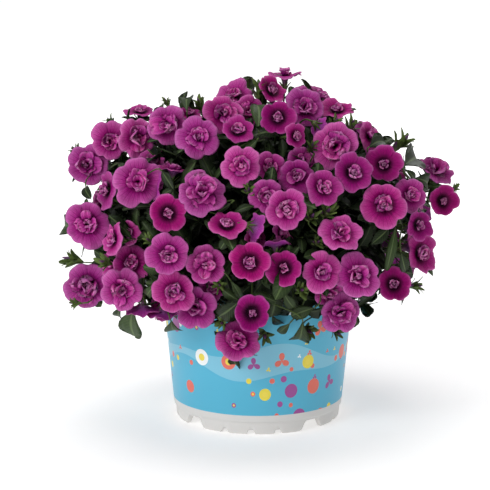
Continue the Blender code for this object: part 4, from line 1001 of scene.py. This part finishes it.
# Leaves are soft, oblong and blunt, 12 to 28 mm long, folded along the midrib and bent back a
# little. They stand in a spiral on every stem, and fill the mound under the blooms.
LEAF_ROWS = np.array([0.0, 0.08, 0.18, 0.30, 0.44, 0.58, 0.71, 0.82, 0.91, 0.97, 1.0])
LEAF_ACROSS = np.array([-1.0, -0.5, 0.0, 0.5, 1.0])
SMALL_LEAF_ROWS = np.array([0.0, 0.14, 0.36, 0.60, 0.82, 0.95, 1.0])
SMALL_LEAF_ACROSS = np.array([-1.0, 0.0, 1.0])
LEAF_WIDTH_SHARE = 0.44


def leaf_skin(roots, tips, faces, draw, rows=LEAF_ROWS, edges=LEAF_ACROSS, tint=None, broad=1.0):
    """Leaves from root points to tips, with the directions that their upper faces look in. The outline
    is a narrow stalk that swells to a blunt blade; the midline arches up and droops at the tip; the
    halves fold up from the midrib, and the margins wave a little."""
    count = len(roots)
    reach = tips - roots
    length = np.linalg.norm(reach, axis=-1)[:, None]
    along = unit(reach)[:, None, :]
    across = unit(np.cross(along, faces[:, None, :]))
    upper = np.cross(across, along)
    luck = draw.uniform(-1.0, 1.0, (6, count, 1))
    share = rows[None, :]
    rise = (0.10 + 0.06 * luck[0]) * np.sin(math.pi * share) - (0.04 + 0.10 * np.abs(luck[1])) * share**2
    sway = 0.06 * luck[2] * np.sin(math.pi * share)
    middle = roots[:, None, :] + along * (share * length)[..., None]
    middle = middle + upper * (rise * length)[..., None] + across * (sway * length)[..., None]
    width = broad * LEAF_WIDTH_SHARE * (1.0 + 0.20 * luck[3]) * length / 2.0
    swelling = np.sin(0.5 * math.pi * np.minimum(share / 0.55, 1.0)) ** 1.2
    rounding = (1.0 - np.clip((share - 0.5) / 0.5, 0.0, 1.0) ** 2.2) ** 0.5
    half_width = width * (0.96 * swelling * rounding + 0.05)
    fold = 0.24 + 0.20 * luck[4]
    lift = half_width[..., None] * fold[..., None] * np.abs(edges)
    ripple = np.sin(9.0 * share + 3.0 * luck[2])[..., None] * edges**3
    lift = lift + 0.10 * width[..., None] * ripple
    thickness = 0.0006 * (1.0 - 0.6 * share) + 0.0 * length
    shape = middle.shape
    points, edge = ribbon(middle, np.broadcast_to(across, shape), np.broadcast_to(upper, shape),
                          half_width, lift, thickness, edges)
    under = np.concatenate([np.zeros(edges.size), np.ones(edge.size - edges.size)])
    form = np.stack(np.broadcast_arrays(share[..., None], edge, under), axis=-1)
    kind = np.zeros(points.shape)
    kind[..., 1] = (0.45 + 0.45 * luck[5][..., None]) if tint is None else tint
    kind[..., 2] = unshaded_share(points)
    return points, np.broadcast_to(form, points.shape), kind, leaf_green


def leaves_along(paths, starts, count, lengths, draw, rows=SMALL_LEAF_ROWS, edges=SMALL_LEAF_ACROSS):
    """Leaves in a spiral on paths (stems, points, 3), from a share of each path to its end, without
    those that would stand in a bloom."""
    stems = len(paths)
    at = starts + (0.98 - starts) * (np.arange(count) + draw.uniform(0.1, 0.9, (stems, count))) / count
    place = at * (paths.shape[1] - 1)
    low = np.minimum(place.astype(int), paths.shape[1] - 2)
    stem = np.arange(stems)[:, None]
    part = (place - low)[..., None]
    roots = paths[stem, low] * (1.0 - part) + paths[stem, low + 1] * part
    along = unit(paths[stem, low + 1] - paths[stem, low])
    side = unit(np.cross(along, (0.3, 0.2, 1.0)))
    other = np.cross(along, side)
    turn = (np.arange(count) * GOLDEN_ANGLE + draw.uniform(0.0, math.tau, (stems, 1)))[..., None]
    out = side * np.cos(turn) + other * np.sin(turn)
    way = unit(out * draw.uniform(0.7, 1.1, (stems, count, 1)) + along * 0.6 + np.array([0.0, 0.0, 0.25]))
    length = draw.uniform(*lengths, (stems, count, 1))
    faces = unit(along * 0.8 - out * 0.4 + np.array([0.0, 0.0, 0.7]))
    roots, tips, faces = [part.reshape(-1, 3) for part in (roots, roots + way * length, faces)]
    clear = ~in_the_way(roots, tips)
    return leaf_skin(roots[clear], tips[clear], faces[clear], draw, rows, edges)


# Bud clusters end the young twigs: a furled purple-tipped bud in a star of narrow green sepals,
# with small pointed leaves and a smaller bud beside it.
BUD_SIDES = 8
TWIG_RADIUS = 0.0006


def bud_material():
    """Furled petals: yellow-green at the foot, dusky purple towards the point, with spiral creases darkened
    along their lines as painted shade.
    """
    material, tree = new_tree("furled_bud")
    form = put(tree, "Attribute", attribute_name="form").outputs["Vector"]
    share = put(tree, "SeparateXYZ", form)
    around, along, _ = put(tree, "SeparateXYZ", put(tree, "UVMap", uv_map="around")).outputs
    colour = put(tree, "ValToRGB", share,
                 stops=[(0.1, "#71883f"), (0.45, "#5f5c40"), (0.7, "#4c264e"), (1.0, "#6d3573")])
    five = put(tree, "Math", around, 5.0, operation="MULTIPLY")
    twist = put(tree, "Math", along, 1.5, five, operation="MULTIPLY_ADD")
    crease = put(tree, "Math", put(tree, "Math", twist, operation="FRACT"), 0.5, operation="SUBTRACT")
    crease = put(tree, "Math", crease, operation="ABSOLUTE")
    # Painted shade: a near-black line along each spiral crease.
    line = put(tree, "MapRange", crease, From_Max=0.2, To_Min=0.5, To_Max=0.0)
    colour = put(tree, "Mix", line, colour, linear("#231026"), data_type="RGBA")
    bump = put(tree, "Bump", Height=crease, Strength=0.6, Distance=0.0005)
    shader = put(tree, "BsdfPrincipled", Base_Color=colour, Roughness=0.55, Normal=bump)
    put(tree, "OutputMaterial", shader)
    return material


furled_bud = bud_material()


def furled_skin(feet, axes, lengths, widths):
    """Closed buds: a ring carried along each axis, its radius a sine arch that is drawn out to a point."""
    share = np.linspace(0.0, 1.0, 9)
    turn = np.arange(BUD_SIDES) * math.tau / BUD_SIDES
    side = unit(np.cross(axes, (0.2, 0.3, 1.0)))
    other = np.cross(axes, side)
    radius = (np.sin(math.pi * share**0.85) ** 0.8 * (1.0 - 0.45 * share) + 0.06)[None, :, None, None]
    radius = radius * widths[:, None, None, None] / 2.0
    ring = side[:, None, None] * np.cos(turn)[:, None] + other[:, None, None] * np.sin(turn)[:, None]
    middle = feet[:, None, :] + axes[:, None, :] * (share[:, None] * lengths[:, None, None])
    points = middle[:, :, None, :] + ring * radius
    form = np.zeros(points.shape)
    form[..., 0] = share[:, None]
    return points, form, (0.0, 0.5, 1.0), furled_bud


def cluster_skins(ends, sizes, axes, draw):
    """At each twig's end: two buds, five sepals whose tips stand half a size out, and four leaves."""
    count = len(ends)
    side = unit(np.cross(axes, (0.2, 0.3, 1.0)))
    other = np.cross(axes, side)
    size = sizes[:, None]
    lean = unit(axes + 0.55 * side)
    skins = [
        furled_skin(ends, axes, 0.95 * sizes, 0.30 * sizes),
        furled_skin(ends + 0.05 * size * side, lean, 0.62 * sizes, 0.24 * sizes),
    ]
    for petals, out, rise, start, wide in ((5, 0.36, 1.00, 0.0, 0.55), (4, 0.52, 0.72, 0.6, 0.8)):
        turn = start + np.arange(petals) * math.tau / petals + draw.uniform(-0.25, 0.25, (count, petals))
        turn = turn[..., None]
        way = side[:, None] * np.cos(turn) + other[:, None] * np.sin(turn)
        roots = np.repeat(ends[:, None], petals, axis=1)
        scale = size[:, None] * draw.uniform(0.8, 1.1, (count, petals, 1))
        tips = roots + (way * out + axes[:, None] * rise) * scale
        faces = np.repeat(axes[:, None], petals, axis=1) - 0.6 * way
        blades = leaf_skin(roots.reshape(-1, 3), tips.reshape(-1, 3), faces.reshape(-1, 3), draw,
                           SMALL_LEAF_ROWS, SMALL_LEAF_ACROSS, 1.0 if petals == 5 else 0.8, wide)
        skins.append((*blades[:3], stem_green))
    return skins


# The shoots: each is one piece that stands for its node of the frame, with its stem, its heads,
# its bud clusters on their twigs, its large leaves and the small ones on the stem.
SHOOT_LEAVES = 8
SHOOT_LEAF_START = 0.30
# How much broader or narrower than usual some large leaves are, by shoot and place in its list
LEAF_BREADTH = {(10, 0): 0.62, (10, 1): 1.2, (19, 0): 1.3, (9, 0): 1.2, (25, 0): 1.3, (11, 0): 1.2}


def twig_paths(stems, ends, ways):
    """Twigs from the nearest points of a shoot's stems to some ends, which they reach along the ways."""
    nodes = stems[:, 4:-2].reshape(-1, 3)
    nearest = np.argmin(np.linalg.norm(nodes[None] - ends[:, None], axis=-1), axis=1)
    starts = nodes[nearest]
    reach = np.linalg.norm(ends - starts, axis=-1, keepdims=True)
    return bezier((starts, starts + (ends - starts) * 0.3, ends - ways * reach * 0.4, ends), 8)


def shoot_skins(owner, blooms, buds, leaves, root, draw):
    """All the skins of one shoot."""
    stems = stem_paths(blooms, root)
    skins = [corolla_skin(blooms), sepal_skin(blooms)]
    skins += [whorl_skin(blooms, *whorl) for whorl in WHORLS]
    skins.append(tube_skin(stems[:1], STEM_RADIUS, PEDICEL_RADIUS, stem_green))
    if len(stems) > 1:
        skins.append(tube_skin(stems[1:], PEDICEL_RADIUS, PEDICEL_RADIUS, stem_green))
    skins.append(leaves_along(stems, SHOOT_LEAF_START, SHOOT_LEAVES, (0.017, 0.030), draw))
    if buds:
        places = np.array([tuple(place) for place, _ in buds])
        sizes = np.array([size for _, size in buds])
        axes = unit(unit(places - np.array(MOUND_CENTRE)) + np.array([0.0, 0.0, 0.4]))
        ends = places - axes * sizes[:, None] * 0.6
        skins.append(tube_skin(twig_paths(stems, ends, axes), TWIG_RADIUS, TWIG_RADIUS, stem_green, 0.8))
        skins += cluster_skins(ends, sizes, axes, draw)
    if leaves:
        roots = np.array([tuple(root) for root, _ in leaves])
        tips = np.array([tuple(tip) for _, tip in leaves])
        ways = unit(tips - roots)
        faces = unit(roots - np.array(MOUND_CENTRE)) + np.array([0.0, 0.0, 0.3])
        faces = np.where(roots[:, 1:2] < 0.0, 0.5 * faces - 1.2 * np.array(forward), faces)
        broad = np.array([LEAF_BREADTH.get((owner, k), 1.0) for k in range(len(leaves))])[:, None]
        skins.append(tube_skin(twig_paths(stems, roots, ways), TWIG_RADIUS, TWIG_RADIUS, stem_green))
        skins.append(leaf_skin(roots, tips, faces, draw, broad=broad))
    return skins


for owner, ((blooms, buds, leaves), root) in enumerate(zip(shoots, spread_roots(shoots))):
    node = f"shoot_{owner + 1:02d}"
    shoot_draw = np.random.default_rng(100 + owner)
    shoot = mesh_object(node + "_in_bloom", shoot_skins(owner, blooms, buds, leaves, root, shoot_draw))
    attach(shoot, "root")
    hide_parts(node)


# Leafy growth without blooms fills the mound: branches from the crown of the plant to just under
# the blooms, on a golden spiral over the whole ball, with leaves all along their outer half.
BRANCHES = 210
BRANCH_LEAVES = 12
BRANCH_REACH = (0.70, 0.93)
BRANCH_END = -0.62
BRANCHES_A_PIECE = 70


def branch_paths(draw):
    """Branches that rise from the soil near the middle and bend over to their places on the mound."""
    k = np.arange(BRANCHES)
    cosine = 1.0 - (1.0 - BRANCH_END) * (k + 0.5) / BRANCHES
    sine = np.sqrt(1.0 - cosine**2)
    turn = k * GOLDEN_ANGLE + 1.0
    out = np.stack([sine * np.cos(turn), sine * np.sin(turn), cosine], axis=-1)
    height = np.where(cosine > 0.0, MOUND_RISE, MOUND_DROP)
    reach = draw.uniform(*BRANCH_REACH, BRANCHES)
    scale = np.stack([0.0 * height + MOUND_RADIUS, 0.0 * height + MOUND_RADIUS, height], axis=-1)
    ends = np.array(MOUND_CENTRE) + out * scale * reach[:, None]
    feet = out * ROOT_SPREAD * 0.8
    feet[:, 2] = SOIL_TOP - 0.002
    lift = np.maximum(0.0, ARCH_TOP - ends[:, 2])[:, None] * np.array([0.0, 0.0, 0.9])
    rise = np.array([0.0, 0.0, STEM_RISE])
    return bezier((feet, feet + rise, ends - out * 0.03 + lift, ends), 14)


branch_draw = np.random.default_rng(7)
branches = branch_paths(branch_draw)
for number, first in enumerate(range(0, BRANCHES, BRANCHES_A_PIECE)):
    some = branches[first:first + BRANCHES_A_PIECE]
    growth = mesh_object(f"leafy_growth_{number + 1}", [
        tube_skin(some, 0.0010, 0.0006, stem_green),
        leaves_along(some, 0.35, BRANCH_LEAVES, (0.018, 0.033), branch_draw),
    ])
    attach(growth, "root")


# Leafy shoots also hang over the rim all round, so that no rim shows from the side.
HANGERS = 76
HANGER_LEAVES = 8


def hanger_paths(draw):
    """Young stems from the soil near the rim that rise over it and hang down outside."""
    turn = np.arange(HANGERS) * math.tau / HANGERS + draw.uniform(-0.05, 0.05, HANGERS)
    out = np.stack([np.cos(turn), np.sin(turn), 0.0 * turn], axis=-1)
    upright = np.array([0.0, 0.0, 1.0])
    feet = out * 0.062 + upright * (SOIL_TOP - 0.002)
    over = out * 0.074 + upright * 0.150
    ends = out * draw.uniform(0.090, 0.099, (HANGERS, 1)) + upright * draw.uniform(0.102, 0.126, (HANGERS, 1))
    return bezier((feet, over, ends + upright * 0.035 - out * 0.004, ends), 14)


hangers = hanger_paths(branch_draw)
hanging_growth = mesh_object("hanging_growth", [
    tube_skin(hangers, 0.0010, 0.0006, stem_green),
    leaves_along(hangers, 0.40, HANGER_LEAVES, (0.018, 0.029), branch_draw),
])
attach(hanging_growth, "root")


# More blooms peep out between and behind those in front: photograph x, y and width in pixels, degrees
# right and up, age and layer, as above. Their stalks come out of the growth behind them.
PEEPING = [
    (307, 101, 34, 25, 20, 0.7, 2.5), (249, 110, 34, 20, 10, 0.8, 3), (303, 161, 34, 30, 10, 0.8, 3),
    (127, 233, 28, -20, -5, 0.8, 3), (329, 294, 34, 10, -20, 0.8, 3), (212, 288, 32, 20, -10, 0.7, 4),
    (166, 308, 34, 15, -35, 0.8, 4), (283, 236, 34, 60, 20, 0.8, 3), (370, 134, 32, 30, 40, 0.8, 3.5),
    (113, 262, 34, -40, 5, 0.7, 4), (152, 160, 30, 15, 50, 0.7, 4), (256, 240, 30, 40, 10, 0.7, 3),
]
STALK = 0.075
SIDE_POINTS = 150
SIDE_ROOM = 0.031
SIDE_SHARE = 0.95
SIDE_LOWEST = 0.125
peeping = []
for row, (x, y, width, degrees_right, degrees_up, age, layer) in enumerate(PEEPING):
    place = place_on_mound(x, y, layer)
    radius = real_width(width, place) / 2.0
    peeping.append(Bloom(place, facing(degrees_right, degrees_up), radius, age, len(heads) + row))
for k in range(SIDE_POINTS):
    cosine = 0.75 - 1.25 * (k + 0.5) / SIDE_POINTS
    turn = k * GOLDEN_ANGLE
    sine = math.sqrt(1.0 - cosine**2)
    out = Vector((sine * math.cos(turn), sine * math.sin(turn), cosine))
    height = MOUND_RISE if cosine > 0.0 else MOUND_DROP
    place = MOUND_CENTRE + out * Vector((MOUND_RADIUS, MOUND_RADIUS, height)) * SIDE_SHARE
    while not in_outline(place):
        place = MOUND_CENTRE.lerp(place, SPIRAL_SHRINK)
    beside = abs(place.x) > 0.085 and -0.085 < place.y < 0.035 and place.z > SIDE_LOWEST
    room = all((place - bloom.place).length > SIDE_ROOM for bloom in heads + peeping)
    if beside and room:
        axis = (out + Vector((0.0, 0.0, 0.25 * math.sin(2.3 * k)))).normalized()
        age = 0.3 + 0.7 * ((k * 0.618) % 1.0)
        radius = between(BACK_RADIUS, (k * 0.382) % 1.0)
        peeping.append(Bloom(place, axis, radius, age, len(heads) + len(peeping)))
backs = np.array([tuple(bloom.back) for bloom in peeping])
axes = np.array([tuple(bloom.axis) for bloom in peeping])
inwards = unit(np.array([0.0, 0.0, 0.14]) - backs)
feet = backs + inwards * STALK
stalks = bezier((feet, feet - inwards * 0.02, backs - axes * 0.02, backs), 12)
late_blooms = mesh_object("late_blooms", [
    corolla_skin(peeping),
    sepal_skin(peeping),
    *[whorl_skin(peeping, *whorl) for whorl in WHORLS],
    tube_skin(stalks, PEDICEL_RADIUS, PEDICEL_RADIUS, stem_green),
])
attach(late_blooms, "root")


# The room: a plain pale floor, a white surround, and soft boxes at the front left, the right and above.
FLOOR_HALF = 6.0


def floor_material():
    """Matt white card over a light table, whose glow keeps it near white far from the lamps too."""
    material, tree = new_tree("matt_white_card")
    away = put(tree, "VectorMath", put(tree, "TexCoord").outputs["Object"], operation="LENGTH").outputs["Value"]
    glow = put(tree, "MapRange", away, From_Min=0.3, From_Max=1.6, To_Min=0.40, To_Max=0.80)
    shader = put(tree, "BsdfPrincipled", Base_Color=linear("#f2f2f2"), Roughness=0.9,
                 Emission_Color=linear("#ffffff"), Emission_Strength=glow)
    put(tree, "OutputMaterial", shader)
    return material


def soft_box(name, place, size, power):
    """A square area light that faces the plant."""
    light = bpy.data.lights.new(name, "AREA")
    light.size = size
    light.energy = power
    box = bpy.data.objects.new(name, light)
    box.location = place
    box.rotation_euler = (Vector(place) - Vector((0.0, 0.0, 0.15))).to_track_quat("Z", "Y").to_euler()
    bpy.context.scene.collection.objects.link(box)


sheet = bpy.data.meshes.new("floor")
corners = [(-FLOOR_HALF, -FLOOR_HALF, 0.0), (FLOOR_HALF, -FLOOR_HALF, 0.0), (FLOOR_HALF, FLOOR_HALF, 0.0),
           (-FLOOR_HALF, FLOOR_HALF, 0.0)]
sheet.from_pydata(corners, [], [(0, 1, 2, 3)])
sheet.materials.append(floor_material())
floor = bpy.data.objects.new("floor", sheet)
bpy.context.scene.collection.objects.link(floor)

world = bpy.data.worlds.new("white_surround")
world.use_nodes = True
bpy.context.scene.world = world
sky = world.node_tree
sky.nodes.clear()
seen = put(sky, "LightPath").outputs["Is Camera Ray"]
strength = put(sky, "MapRange", seen, To_Min=0.24, To_Max=1.0)
put(sky, "OutputWorld", put(sky, "Background", linear("#ffffff"), strength))
bpy.context.scene.view_settings.view_transform = "Standard"

soft_box("front_left_soft_box", (-1.5, -1.8, 1.4), 1.2, 31.0)
soft_box("right_soft_box", (1.8, -0.6, 1.2), 1.4, 1.5)
soft_box("top_soft_box", (-0.1, 0.2, 2.2), 1.4, 18.0)
soft_box("back_soft_box", (0.9, 2.0, 1.3), 1.4, 14.0)
